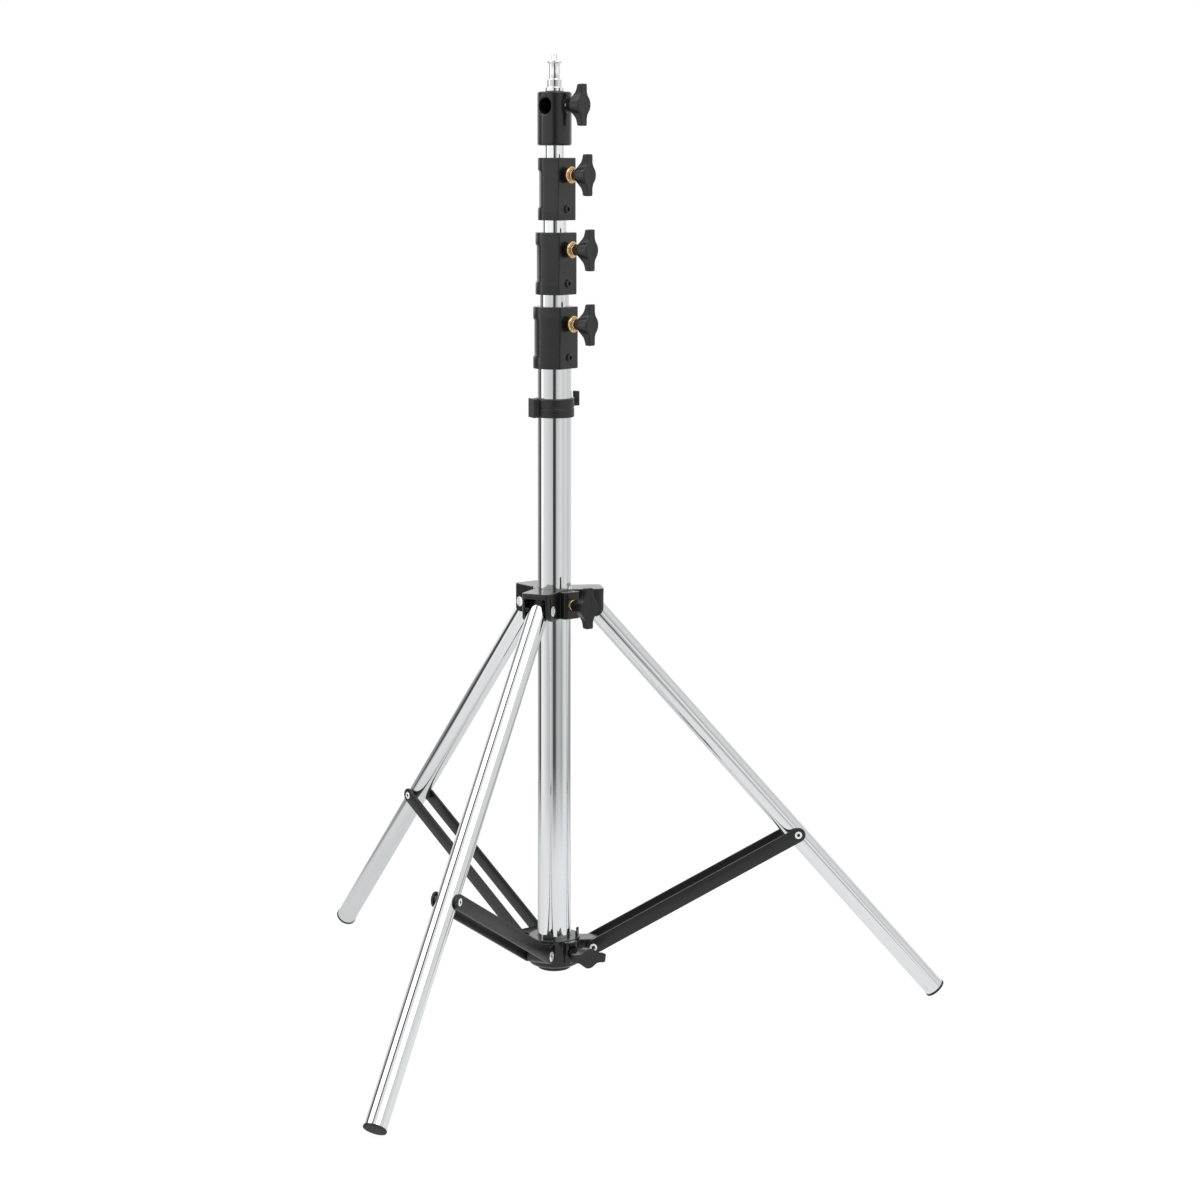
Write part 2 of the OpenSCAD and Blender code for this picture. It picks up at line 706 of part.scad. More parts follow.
module base_bush() {
    outwards(foot_knob_angle, base_pivot_z) slim_bush(base_boss_r, column_r + 1.5);
}

module base_rivets() {
    color(chrome) for (i = [0 : 2]) at_leg(i) translate([pivot_r, 0, base_pivot_z])
        rivet(bar_out + free_gap, rivet_head_d);
}

module base_knob() {
    outwards(foot_knob_angle, base_pivot_z) translate([0, 0, base_boss_r + bush_len + free_gap])
        wing_knob(base_knob_turn, bush_len - low_bush_len);
}

module base_screw() {
    outwards(foot_knob_angle, base_pivot_z)
        clamp_screw(column_r + free_gap, base_boss_r + bush_len + free_gap);
}

// A leg's own frame at its hub pivot: z runs down the leg, y across it
module along_leg(i) {
    at_leg(i) translate([pivot_r, 0, hub_pivot_z]) rotate([0, 180 - leg_angle, 0]) children();
}

module leg_tube(i) {
    color(chrome) along_leg(i) difference() {
        translate([0, 0, -leg_overrun]) cylinder(r = leg_r, h = leg_overrun + leg_len - foot_rim);
        translate([0, 0, -leg_overrun - cut]) cylinder(r = leg_r - leg_wall, h = leg_len + leg_overrun + cut);
        for (d = [0, leg_brace_d]) across(0, d, sleeve_r + seat_fit, leg_r + cut);
    }
}

module leg_foot(i) {
    plug_len = 14;
    color(rubber) along_leg(i) {
        translate([0, 0, leg_len - foot_rim]) cylinder(d = foot_d, h = foot_rim);
        translate([0, 0, leg_len - foot_rim - plug_len])
            cylinder(r = leg_r - leg_wall - seat_fit, h = plug_len + 0.5);
    }
}

// Steel sleeves across a leg: one turns on the hub rivet, one takes the brace rivet
module leg_sleeves(i) {
    color(steel) along_leg(i) for (d = [0, leg_brace_d]) difference() {
        across(0, d, sleeve_r, leg_r + 0.25);
        across(0, d, rivet_d / 2 + run_fit, leg_r + cut);
    }
}

// A brace's own frame at its base pivot: x runs up the brace to the leg
module along_brace(i) {
    at_leg(i) translate([pivot_r, 0, base_pivot_z]) rotate([0, -brace_angle, 0]) children();
}

module brace_bars(i) {
    color(black) along_brace(i) for (side = [0, 1]) mirror([0, side, 0])
        translate([0, bar_out, 0]) rotate([90, 0, 0]) difference() {
            linear_extrude(bar_t) {
                translate([0, -bar_w / 2]) square([brace_len, bar_w]);
                for (x = [0, brace_len]) translate([x, 0]) circle(d = bar_w);
            }
            translate([0, 0, -cut]) cylinder(r = rivet_d / 2 + run_fit, h = bar_t + 2 * cut);
            translate([brace_len, 0, -cut]) cylinder(r = rivet_d / 2 + seat_fit, h = bar_t + 2 * cut);
        }
}

// Outer halves of the rivet that joins a brace to its leg, one in each bar
module brace_rivets(i) {
    color(chrome) along_brace(i) translate([brace_len, 0, 0]) difference() {
        rivet(bar_out, brace_head_d);
        across(0, 0, brace_head_d, bar_gap);
    }
}

// Cable clip round the column: a band with a closing lug and a hook for the cable
module clip() {
    outer = column_r + clip_wall + run_fit;
    rib = 0.5;
    rib_h = 8;
    rib_in = 1;
    lug = [6.5, 12];
    cap = [2.6, 16];
    slit = 1.6;
    hook_w = 7.4;
    hook_t = 2.6;
    hook_out = clip_hook_reach;
    hook_lip = 4.1;
    lip_rise = 7;
    hook_z = clip_z + clip_h - 8.9;
    hook_h = 15.2;
    color(black) difference() {
        union() {
            translate([0, 0, clip_z]) cylinder(r = outer, h = clip_h);
            for (z = [rib_in, clip_h - rib_in - rib_h]) translate([0, 0, clip_z + z])
                cylinder(r = outer + rib, h = rib_h);
            rotate([0, 0, clip_lug_angle]) translate([column_r, 0, clip_z]) {
                translate([0, -lug.y / 2, 0]) cube([lug.x, lug.y, clip_h]);
                translate([lug.x - 0.7, -cap.y / 2, 0]) cube([cap.x, cap.y, clip_h]);
            }
            rotate([0, 0, clip_hook_angle]) translate([0, -hook_w / 2, hook_z]) {
                translate([column_r + cut, 0, 0]) cube([hook_out - column_r - cut, hook_w, hook_t]);
                translate([hook_out - hook_t, 0, 0]) cube([hook_t, hook_w, hook_h]);
                translate([hook_out - hook_lip, 0, hook_h - lip_rise]) cube([hook_lip, hook_w, lip_rise]);
            }
        }
        translate([0, 0, clip_z - cut]) cylinder(r = column_r + run_fit, h = clip_h + 2 * cut);
        rotate([0, 0, clip_lug_angle]) translate([column_r - cut, -slit / 2, clip_z - cut])
            cube([lug.x + 0.3 + cut, slit, clip_h + 2 * cut]);
    }
}

column_tube();
column_plug();
base_casting();
base_bush();
base_rivets();
collar(1);  // collar_1
collar_bush(1);  // collar_1_bush
collar_guide(1);  // collar_1_guide
collar_set_screw(1);  // collar_1_set_screw
riser_tube(1);  // riser_1_tube
riser_piston(1);  // riser_1_piston
riser_seal(1);  // riser_1_seal
collar(2);  // collar_2
collar_bush(2);  // collar_2_bush
collar_guide(2);  // collar_2_guide
collar_set_screw(2);  // collar_2_set_screw
riser_tube(2);  // riser_2_tube
riser_piston(2);  // riser_2_piston
riser_seal(2);  // riser_2_seal
collar(3);  // collar_3
collar_bush(3);  // collar_3_bush
collar_guide(3);  // collar_3_guide
collar_set_screw(3);  // collar_3_set_screw
riser_tube(3);  // riser_3_tube
riser_piston(3);  // riser_3_piston
riser_seal(3);  // riser_3_seal
top_casting();
spigot();
hub_casting();
hub_bush();
hub_rivets();
hub_top_screw();
leg_tube(0);  // leg_1_tube
leg_foot(0);  // leg_1_foot
leg_sleeves(0);  // leg_1_sleeves
leg_tube(1);  // leg_2_tube
leg_foot(1);  // leg_2_foot
leg_sleeves(1);  // leg_2_sleeves
leg_tube(2);  // leg_3_tube
leg_foot(2);  // leg_3_foot
leg_sleeves(2);  // leg_3_sleeves
brace_bars(0);  // brace_1_bars
brace_rivets(0);  // brace_1_rivets
brace_bars(1);  // brace_2_bars
brace_rivets(1);  // brace_2_rivets
brace_bars(2);  // brace_3_bars
brace_rivets(2);  // brace_3_rivets
clip();
collar_knob(1);  // collar_1_knob
collar_screw(1);  // collar_1_screw
collar_knob(2);  // collar_2_knob
collar_screw(2);  // collar_2_screw
collar_knob(3);  // collar_3_knob
collar_screw(3);  // collar_3_screw
top_knob();
top_screw();
hub_knob();
hub_screw();
base_knob();
base_screw();
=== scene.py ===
import json
import math
import bmesh
import bpy
from mathutils import Matrix, Quaternion, Vector


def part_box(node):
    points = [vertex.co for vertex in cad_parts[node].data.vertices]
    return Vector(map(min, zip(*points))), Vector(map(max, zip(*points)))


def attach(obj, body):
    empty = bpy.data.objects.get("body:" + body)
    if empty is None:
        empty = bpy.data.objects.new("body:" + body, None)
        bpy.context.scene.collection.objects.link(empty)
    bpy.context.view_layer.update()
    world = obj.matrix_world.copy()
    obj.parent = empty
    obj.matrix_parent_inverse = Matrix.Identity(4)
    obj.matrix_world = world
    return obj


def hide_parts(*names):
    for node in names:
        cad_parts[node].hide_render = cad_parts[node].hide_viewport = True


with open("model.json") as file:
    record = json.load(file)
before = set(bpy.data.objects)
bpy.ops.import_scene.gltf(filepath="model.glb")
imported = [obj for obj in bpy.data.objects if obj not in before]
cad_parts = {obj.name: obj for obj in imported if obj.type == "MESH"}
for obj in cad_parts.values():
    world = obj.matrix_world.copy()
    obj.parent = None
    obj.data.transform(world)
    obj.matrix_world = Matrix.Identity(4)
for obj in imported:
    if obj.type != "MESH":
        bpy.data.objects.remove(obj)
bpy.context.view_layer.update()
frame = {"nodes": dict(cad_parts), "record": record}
scene = bpy.context.scene
mm = 0.001
axisGap = 0.2                                             # mm, a closed profile stops this short of the axis
print("frame loaded:", len(frame["nodes"]), "nodes")


# shader helper
class Val:  # wraps an output socket, so that shader maths reads as plain maths
    def __init__(self, tree, out):
        self.tree, self.out = tree, out

    def maths(self, kind, a, b):
        node = self.tree.nodes.new("ShaderNodeMath")
        node.operation = kind
        for slot, value in zip(node.inputs, (a, b)):
            plug(self.tree, slot, value)
        return Val(self.tree, node.outputs[0])

    def __add__(self, other):
        return self.maths("ADD", self, other)

    def __radd__(self, other):
        return self.maths("ADD", other, self)

    def __sub__(self, other):
        return self.maths("SUBTRACT", self, other)

    def __rsub__(self, other):
        return self.maths("SUBTRACT", other, self)

    def __mul__(self, other):
        return self.maths("MULTIPLY", self, other)

    def __rmul__(self, other):
        return self.maths("MULTIPLY", other, self)

    def __truediv__(self, other):
        return self.maths("DIVIDE", self, other)

    def __pow__(self, other):
        return self.maths("POWER", self, other)

    def most(self, other):
        return self.maths("MAXIMUM", self, other)


def plug(tree, slot, value):
    if isinstance(value, Val):
        tree.links.new(value.out, slot)
    elif isinstance(value, (tuple, list)) and len(value) == 3 and slot.type == "RGBA":
        slot.default_value = (*value, 1.0)
    else:
        slot.default_value = value


class Finish:  # one material or world, with one method for all its nodes
    def __init__(self, name, owner=None):
        self.owner = owner or bpy.data.materials.new(name)
        self.owner.use_nodes = True
        self.tree = self.owner.node_tree
        self.tree.nodes.clear()

    def add(self, kind, settings=None, inputs=None, output=0):
        node = self.tree.nodes.new(kind)
        for key, value in (settings or {}).items():
            if key == "stops":
                ramp = node.color_ramp
                while len(ramp.elements) < len(value):
                    ramp.elements.new(0.5)
                for stop, (place, colour) in zip(ramp.elements, value):
                    stop.position = place
                    stop.color = (*colour, 1.0)
            else:
                setattr(node, key, value)
        for key, value in (inputs or {}).items():
            plug(self.tree, node.inputs[key], value)
        return Val(self.tree, node.outputs[output]) if len(node.outputs) else None

    def also(self, value, output):  # another output of the same node
        return Val(self.tree, value.out.node.outputs[output])

    def place(self, output="Object"):
        return self.add("ShaderNodeTexCoord", output=output)

    def axes(self, source):  # the three numbers of a coordinate
        x = self.add("ShaderNodeSeparateXYZ", None, {"Vector": source}, "X")
        return x, self.also(x, "Y"), self.also(x, "Z")

    def mix(self, factor, a, b):  # two colours
        node = self.tree.nodes.new("ShaderNodeMix")
        node.data_type = "RGBA"
        for slot, value in zip((node.inputs[0], node.inputs[6], node.inputs[7]), (factor, a, b)):
            plug(self.tree, slot, value)
        return Val(self.tree, node.outputs[2])

    def stretched(self, source, scale):  # a coordinate scaled by three numbers
        return self.add("ShaderNodeVectorMath", {"operation": "MULTIPLY"}, {0: source, 1: scale})

    def clamp(self, value):
        return self.add("ShaderNodeClamp", None, {"Value": value})

    def fade(self, value, low, high):  # 0 below low, 1 above high, smooth between
        return self.add("ShaderNodeMapRange", {"interpolation_type": "SMOOTHSTEP"},
                        {"Value": value, "From Min": low, "From Max": high, "To Min": 0.0, "To Max": 1.0})

    def noise(self, where, scale, detail=3.0, roughness=0.55):
        return self.add("ShaderNodeTexNoise", None,
                        {"Vector": where, "Scale": scale, "Detail": detail, "Roughness": roughness})

    def bump(self, height, strength, distance, under=None):
        inputs = {"Height": height, "Strength": strength, "Distance": distance}
        if under is not None:
            inputs["Normal"] = under
        return self.add("ShaderNodeBump", None, inputs)

    def rays(self):  # camera rays, and those that come from a mirror
        path = self.add("ShaderNodeLightPath")
        return path, self.also(path, "Is Glossy Ray") + self.also(path, "Is Transmission Ray")

    def surface(self, **inputs):
        shader = self.add("ShaderNodeBsdfPrincipled", None,
                          {key.replace("_", " "): value for key, value in inputs.items()})
        self.add("ShaderNodeOutputMaterial", None, {"Surface": shader})
        return self.owner


# finishes
# a noise is (scale, detail, roughness), a bump (strength, distance in metres), "rough" the base and what the
# noises add to it, and "shares" how far each noise mixes the two tones
def tubeChrome():
    look = {"tone": (0.905, 0.912, 0.92), "dull": (0.77, 0.775, 0.785), "lines": (0.9, 0.005, 1.0),
            "lineNoise": (1.0, 4.0, 0.6), "haze": (0.09, 0.007, 1.0), "hazeNoise": (1.0, 2.0),
            "specks": (1.4, 1.4, 1.0), "speckNoise": (1.0, 1.0), "shares": (0.45, 0.45), "contrast": 2.0,
            "strength": 1.4, "rough": (0.045, 0.07), "lineBump": (0.25, 0.000003),
            "speckBump": (0.05, 0.000008)}
    f = Finish("tubeChrome")
    run = f.add("ShaderNodeUVMap")                        # u round the tube, v along it, both in millimetres
    lines = f.noise(f.stretched(run, look["lines"]), *look["lineNoise"])
    haze = f.noise(f.stretched(run, look["haze"]), *look["hazeNoise"])
    specks = f.noise(f.stretched(run, look["specks"]), *look["speckNoise"])
    (byHaze, byLines), (rough, spread) = look["shares"], look["rough"]
    worn = (haze * byHaze + lines * byLines) ** look["contrast"] * look["strength"]
    dent = f.bump(lines, *look["lineBump"], f.bump(specks, *look["speckBump"]))
    return f.surface(Base_Color=f.mix(worn, look["tone"], look["dull"]), Metallic=1.0,
                     Roughness=rough + spread * haze * lines, Normal=dent)


def rivetSteel():
    look = {"tone": (0.97, 0.975, 0.98), "worn": (0.84, 0.845, 0.86), "grain": (1800.0,),
            "patches": (260.0, 2.0), "rough": (0.12, 0.14), "bump": (0.25, 0.00003)}
    f = Finish("rivetSteel")
    where = f.place()
    grain, patches = f.noise(where, *look["grain"]), f.noise(where, *look["patches"])
    rough, spread = look["rough"]
    return f.surface(Base_Color=f.mix(patches * grain, look["tone"], look["worn"]), Metallic=0.5,
                     Roughness=rough + spread * patches, Normal=f.bump(grain, *look["bump"]))


def turnedSteel(name, paintedSocketShade):
    look = {"tone": (0.97, 0.972, 0.975), "shade": (0.84, 0.845, 0.85), "black": (0.02, 0.02, 0.021),
            "rings": (60.0, 60.0, 2600.0), "ringNoise": (1.0, 2.0), "haze": (180.0, 2.0),
            "shares": (0.5, 0.3), "socket": (0.9625, 0.9640), "rough": (0.07, 0.09), "bump": (0.3, 0.00002)}
    f = Finish(name)
    where = f.place()
    rings = f.noise(f.stretched(where, look["rings"]), *look["ringNoise"])
    haze = f.noise(where, *look["haze"])
    (byRings, byHaze), (rough, spread) = look["shares"], look["rough"]
    colour = f.mix(rings * byRings + haze * byHaze, look["tone"], look["shade"])
    if paintedSocketShade:                                         # painted shade: the part of the stud inside its socket is coloured black
        colour = f.mix(f.fade(f.axes(where)[2], *look["socket"]), look["black"], colour)
    return f.surface(Base_Color=colour, Metallic=1.0, Roughness=rough + spread * rings,
                     Normal=f.bump(rings, *look["bump"]))


def castPowder():
    look = {"tone": (0.0060, 0.0062, 0.0068), "light": (0.0120, 0.0122, 0.0130), "grain": (2300.0, 2.0),
            "swell": (420.0, 2.0), "cloud": (35.0,), "shares": (0.6, 0.25), "rough": (0.25, 0.10, 0.05),
            "grainBump": (0.30, 0.00006), "swellBump": (0.12, 0.00012)}
    f = Finish("castPowder")
    where = f.place()
    grain = f.noise(where, *look["grain"])                # fine orange peel of the powder coat
    swell, cloud = f.noise(where, *look["swell"]), f.noise(where, *look["cloud"])
    (byCloud, byGrain), (rough, cloudy, grainy) = look["shares"], look["rough"]
    colour = f.mix(cloud * byCloud + grain * byGrain, look["tone"], look["light"])
    dent = f.bump(grain, *look["grainBump"], f.bump(swell, *look["swellBump"]))
    return f.surface(Base_Color=colour, Roughness=rough + cloudy * cloud + grainy * grain, Normal=dent,
                     Specular_IOR_Level=0.30, Coat_Weight=0.5, Coat_Roughness=0.11)


def barPaint():
    look = {"tone": (0.0090, 0.0092, 0.0098), "light": (0.0190, 0.0192, 0.0200), "scuff": (0.11, 0.11, 0.115),
            "grain": (1500.0,), "cloud": (28.0,), "scuffs": (90.0, 90.0, 900.0),
            "scuffNoise": (1.0, 5.0, 0.7), "peaks": (0.62, 6.0), "shares": (0.5, 0.10),
            "rough": (0.28, 0.12, 0.06), "bump": (0.28, 0.00005)}
    f = Finish("barPaint")
    where = f.place()
    grain, cloud = f.noise(where, *look["grain"]), f.noise(where, *look["cloud"])
    scuffs = f.noise(f.stretched(where, look["scuffs"]), *look["scuffNoise"])
    (start, steep), (byCloud, byScuffs) = look["peaks"], look["shares"]
    rough, cloudy, grainy = look["rough"]
    scuffs = f.clamp((scuffs - start) * steep)            # only the noise's peaks
    colour = f.mix(cloud * byCloud, look["tone"], look["light"])
    colour = f.mix(scuffs * byScuffs, colour, look["scuff"])
    return f.surface(Base_Color=colour, Roughness=rough + cloudy * cloud + grainy * grain,
                     Normal=f.bump(grain, *look["bump"]), Specular_IOR_Level=0.5)


def knobPlastic():
    look = {"tone": (0.0075, 0.0077, 0.0082), "light": (0.0145, 0.0147, 0.0155), "grain": 1500.0,
            "smooth": 0.6, "cloud": (90.0,), "share": 0.7, "rough": (0.30, 0.14), "bump": (0.18, 0.00007)}
    f = Finish("knobPlastic")
    where = f.place()
    grain = f.add("ShaderNodeTexVoronoi", {"feature": "SMOOTH_F1"},
                  {"Vector": where, "Scale": look["grain"], "Smoothness": look["smooth"]}, "Distance")
    cloud = f.noise(where, *look["cloud"])
    rough, spread = look["rough"]
    return f.surface(Base_Color=f.mix(cloud * look["share"], look["tone"], look["light"]),
                     Roughness=rough + spread * cloud, Normal=f.bump(grain, *look["bump"]),
                     Specular_IOR_Level=0.30, Coat_Weight=0.30, Coat_Roughness=0.14)


def clipPlastic():
    look = {"tone": (0.0085, 0.0087, 0.0092), "light": (0.0180, 0.0182, 0.0190), "grain": (1900.0,),
            "flow": (60.0, 60.0, 240.0), "flowNoise": (1.0,), "share": 0.6, "rough": (0.32, 0.12),
            "bump": (0.3, 0.00006)}
    f = Finish("clipPlastic")
    where = f.place()
    grain = f.noise(where, *look["grain"])
    flow = f.noise(f.stretched(where, look["flow"]), *look["flowNoise"])
    rough, spread = look["rough"]
    return f.surface(Base_Color=f.mix(flow * look["share"], look["tone"], look["light"]),
                     Roughness=rough + spread * flow, Normal=f.bump(grain, *look["bump"]),
                     Specular_IOR_Level=0.5)


def nylon():
    look = {"tone": (0.14, 0.14, 0.15), "light": (0.19, 0.19, 0.20), "grain": (1200.0,), "cloud": (60.0,),
            "rough": (0.45, 0.15), "bump": (0.2, 0.00004)}
    f = Finish("nylon")
    where = f.place()
    grain, cloud = f.noise(where, *look["grain"]), f.noise(where, *look["cloud"])
    rough, spread = look["rough"]
    return f.surface(Base_Color=f.mix(cloud, look["tone"], look["light"]), Roughness=rough + spread * grain,
                     Normal=f.bump(grain, *look["bump"]))


def brass(name, bare):  # black and not metallic up to bare, in millimetres along the profile, then brass
    look = {"tone": (1.0, 0.78, 0.46), "deep": (0.74, 0.40, 0.13), "black": (0.010, 0.009, 0.008),
            "rings": (0.03, 5.2, 1.0), "ringNoise": (1.0, 2.0), "haze": (220.0,), "edge": 0.3, "share": 0.75,
            "metal": 0.82, "rough": (0.07, 0.10, 0.25), "bump": (0.25, 0.00002)}
    f = Finish(name)
    run = f.add("ShaderNodeUVMap")
    rings = f.noise(f.stretched(run, look["rings"]), *look["ringNoise"])
    haze = f.noise(f.place(), *look["haze"])
    colour = f.mix(haze * look["share"], look["tone"], look["deep"])
    shine = f.fade(f.axes(run)[1], bare, bare + look["edge"])
    rough, spread, paint = look["rough"]
    return f.surface(Base_Color=f.mix(shine, look["black"], colour), Metallic=shine * look["metal"],
                     Roughness=rough + spread * rings * haze + paint * (1 - shine),
                     Normal=f.bump(rings, *look["bump"]))


def rubber():
    look = {"tone": (0.014, 0.014, 0.0145), "dust": (0.032, 0.032, 0.032), "grain": (1600.0, 4.0),
            "cloud": (120.0,), "share": 0.8, "rough": (0.6, 0.16), "bump": (0.5, 0.00012)}
    f = Finish("rubber")
    where = f.place()
    grain, cloud = f.noise(where, *look["grain"]), f.noise(where, *look["cloud"])
    rough, spread = look["rough"]
    return f.surface(Base_Color=f.mix(cloud * look["share"], look["tone"], look["dust"]),
                     Roughness=rough + spread * grain, Normal=f.bump(grain, *look["bump"]),
                     Specular_IOR_Level=0.4)


# the stud finish paints shade, in black, on the part of the stud inside its socket
finishes = {"chrome_tube": tubeChrome(), "bright_rivet": rivetSteel(),
            "steel": turnedSteel("turnedSteel", False), "stud": turnedSteel("studSteel", True),
            "black_casting": castPowder(), "black_bar": barPaint(), "knob_plastic": knobPlastic(),
            "clip_plastic": clipPlastic(), "nylon": nylon(), "brass": brass("brass", -1.0),
            "brass_ring": brass("brassRing", 7.6), "rubber": rubber()}
print("finishes made:", len(finishes))


# mesh helpers
def addPiece(node, shape, body, finish, matrix, sharp=35.0):
    points, faces, runs = shape
    name = "shown_" + node
    mesh = bpy.data.meshes.new(name)
    mesh.from_pydata([tuple(matrix @ Vector(p)) for p in points], [], faces)
    mesh.polygons.foreach_set("use_smooth", [True] * len(mesh.polygons))
    if runs is not None:                                  # one (round, along) pair for each corner of a face
        layer = mesh.uv_layers.new(name="run")
        layer.data.foreach_set("uv", [v for pair in runs for v in pair])
    mesh.update()
    mesh.set_sharp_from_angle(angle=math.radians(sharp))
    piece = bpy.data.objects.new(name, mesh)
    scene.collection.objects.link(piece)
    mesh.materials.append(finishes[finish])
    settle(piece, body, (node,))


def settle(piece, body, replaced):
    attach(piece, body)
    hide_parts(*replaced)


def loft(rings, closeStart=True, closeEnd=True):
    # rings of equal count, joined by quads; u is the way round and v the way along, in millimetres
    count = len(rings[0])
    points = [p for ring in rings for p in ring]
    faces, runs = [], []
    widest = max(rings, key=lambda ring: sum((Vector(ring[k]) - Vector(ring[k - 1])).length
                                             for k in range(count)))
    around = [0.0]
    for k in range(count):
        around.append(around[-1] + (Vector(widest[(k + 1) % count]) - Vector(widest[k])).length)
    along = [0.0]
    for a, b in zip(rings, rings[1:]):
        along.append(along[-1] + (Vector(b[0]) - Vector(a[0])).length)
    for r in range(len(rings) - 1):
        for k in range(count):
            n = (k + 1) % count
            faces.append((r * count + k, r * count + n, (r + 1) * count + n, (r + 1) * count + k))
            runs += [(around[k], along[r]), (around[k + 1], along[r]),
                     (around[k + 1], along[r + 1]), (around[k], along[r + 1])]
    for wanted, ring, order in ((closeStart, 0, -1), (closeEnd, len(rings) - 1, 1)):
        if wanted:
            faces.append(tuple(ring * count + k for k in range(count))[::order])
            runs += [(p[0], p[1]) for p in rings[ring]][::order]
    return points, faces, runs


def circle(radius, z, count):
    return [(radius * math.cos(2 * math.pi * k / count), radius * math.sin(2 * math.pi * k / count), z)
            for k in range(count)]


def lathe(profile, segments=96, closeStart=True, closeEnd=True):
    return loft([circle(r, z, segments) for r, z in profile], closeStart, closeEnd)


def gathered(shapes):
    # several shapes as one
    points, faces, runs = [], [], []
    for p, f, r in shapes:
        faces += [tuple(i + len(points) for i in face) for face in f]
        points += p
        runs += r
    return points, faces, runs


def rounded(profile, radius, steps=4, most=0.45):
    # softens the inner corners of an open profile, by at most that share of a side
    out = [profile[0]]
    for before, here, after in zip(profile, profile[1:], profile[2:]):
        a, b, c = Vector(before), Vector(here), Vector(after)
        reach = min(radius, (a - b).length * most, (c - b).length * most)
        start, end = b + (a - b).normalized() * reach, b + (c - b).normalized() * reach
        for k in range(steps + 1):
            t = k / steps
            out.append(tuple(start * (1 - t) ** 2 + b * 2 * t * (1 - t) + end * t * t))
    out.append(profile[-1])
    return out


def raised(profile, seat):
    # a profile whose heights count from a seat
    return [(r, seat + z) for r, z in profile]


def edgeArc(edge, steps):
    # how deep and how far in each ring of a rounded edge lies
    turns = [math.pi / 2 * k / steps for k in range(steps + 1)]
    return [(edge * (1 - math.sin(a)), edge * (1 - math.cos(a))) for a in turns]


def turned(degrees, axis="Z"):
    return Matrix.Rotation(math.radians(degrees), 4, axis)


def outwards(angle, z):
    # local z points away from the column at this angle, local -x points up
    a = math.radians(angle)
    turn = Matrix(((0, -math.sin(a), math.cos(a)), (0, math.cos(a), math.sin(a)), (-1, 0, 0)))
    return Matrix.Translation((0, 0, z * mm)) @ turn.to_4x4() @ Matrix.Scale(mm, 4)


upright = Matrix.Scale(mm, 4)


def softCast(node, body, finish, slot, voxel, passes, keep, merge=1e-6, strength=0.5):
    # a rounded version of a casting's solid, with the small radii that a mould leaves
    mesh = frame["nodes"][node].data.copy()
    mesh.name = "shown_" + node
    piece = bpy.data.objects.new("shown_" + node, mesh)
    scene.collection.objects.link(piece)
    work = bmesh.new()
    work.from_mesh(mesh)
    bmesh.ops.remove_doubles(work, verts=work.verts, dist=merge)
    work.to_mesh(mesh)
    work.free()
    for layer in list(mesh.uv_layers):
        mesh.uv_layers.remove(layer)
    if mesh.has_custom_normals and "custom_normal" in mesh.attributes:
        mesh.attributes.remove(mesh.attributes["custom_normal"])
    shrink = piece.modifiers.new("remesh", "REMESH")
    shrink.mode, shrink.voxel_size = "VOXEL", voxel * mm
    soften = piece.modifiers.new("soften", "SMOOTH")
    soften.factor, soften.iterations = strength, passes
    thin = piece.modifiers.new("thin", "DECIMATE")
    thin.ratio = keep
    depsgraph = bpy.context.evaluated_depsgraph_get()
    done = bpy.data.meshes.new_from_object(piece.evaluated_get(depsgraph))
    piece.modifiers.clear()
    piece.data = done
    done.materials.clear()
    done.materials.append(finishes[finish])
    done.polygons.foreach_set("use_smooth", [True] * len(done.polygons))
    done.update()
    settle(piece, body, (node,))


# mast tubes
def tube(radius, wall, low, high, segments, lip=0.35, span=60):
    steps = max(2, int((high - low) / span))
    outside = [(radius - lip, low), (radius, low + lip)]
    outside += [(radius, low + lip + (high - low - 2 * lip) * k / steps) for k in range(1, steps)]
    outside += [(radius, high - lip), (radius - lip, high)]
    inside = [(radius - wall, high), (radius - wall, low)]
    return lathe(outside + inside + outside[:1], segments, False, False)


def mastTubes():
    mast = {"wall": 1.5, "segments": 128,
            "tubes": (("column_tube", "column", 17.5), ("riser_1_tube", "riser_1", 15.0),
                      ("riser_2_tube", "riser_2", 12.5), ("riser_3_tube", "riser_3", 10.0))}
    for node, body, radius in mast["tubes"]:
        low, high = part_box(node)
        shape = tube(radius, mast["wall"], low[2] / mm, high[2] / mm, mast["segments"])
        addPiece(node, shape, body, "chrome_tube", upright)


def columnCap():
    cap = {"top": 52.5, "high": 5.7, "radius": 17.9, "edge": 2.6, "chamfer": 1.5, "neck": 15.9,
           "neckTop": 62.5, "steps": 8}
    r, low, edge, neck = cap["radius"], cap["top"] - cap["high"], cap["edge"], cap["neck"]
    profile = [(axisGap, low), (r - edge - cap["chamfer"], low)]
    for k in range(cap["steps"] + 1):
        a = -math.pi / 2 + math.pi / 2 * k / cap["steps"]
        profile.append((r - edge + edge * math.cos(a), low + edge + edge * math.sin(a)))
    profile += [(r, cap["top"]), (neck, cap["top"]), (neck, cap["neckTop"]), (axisGap, cap["neckTop"])]
    addPiece("column_plug", lathe(profile), "column", "rubber", upright)


mastTubes()
columnCap()
print("mast tubes made")


# legs
hubPivotZ, basePivotZ, pivotR = 435.4, 70.6, 39.8
legPivotD, braceLength = 332.8, 247.3
legAngle = math.acos(((hubPivotZ - basePivotZ) ** 2 + legPivotD ** 2 - braceLength ** 2)
                     / (2 * (hubPivotZ - basePivotZ) * legPivotD))
braceAngle = math.acos(legPivotD * math.sin(legAngle) / braceLength)


def linkFrame(number, z, lean):  # a link's own frame at its pivot over the floor
    pivot = turned(120 * (number - 1)) @ Matrix.Translation((pivotR * mm, 0, z * mm))
    return pivot @ Matrix.Rotation(lean, 4, "Y") @ Matrix.Scale(mm, 4)


def legFrame(number):  # z runs down the leg from its hub pivot, y lies across it
    return linkFrame(number, hubPivotZ, math.pi - legAngle)


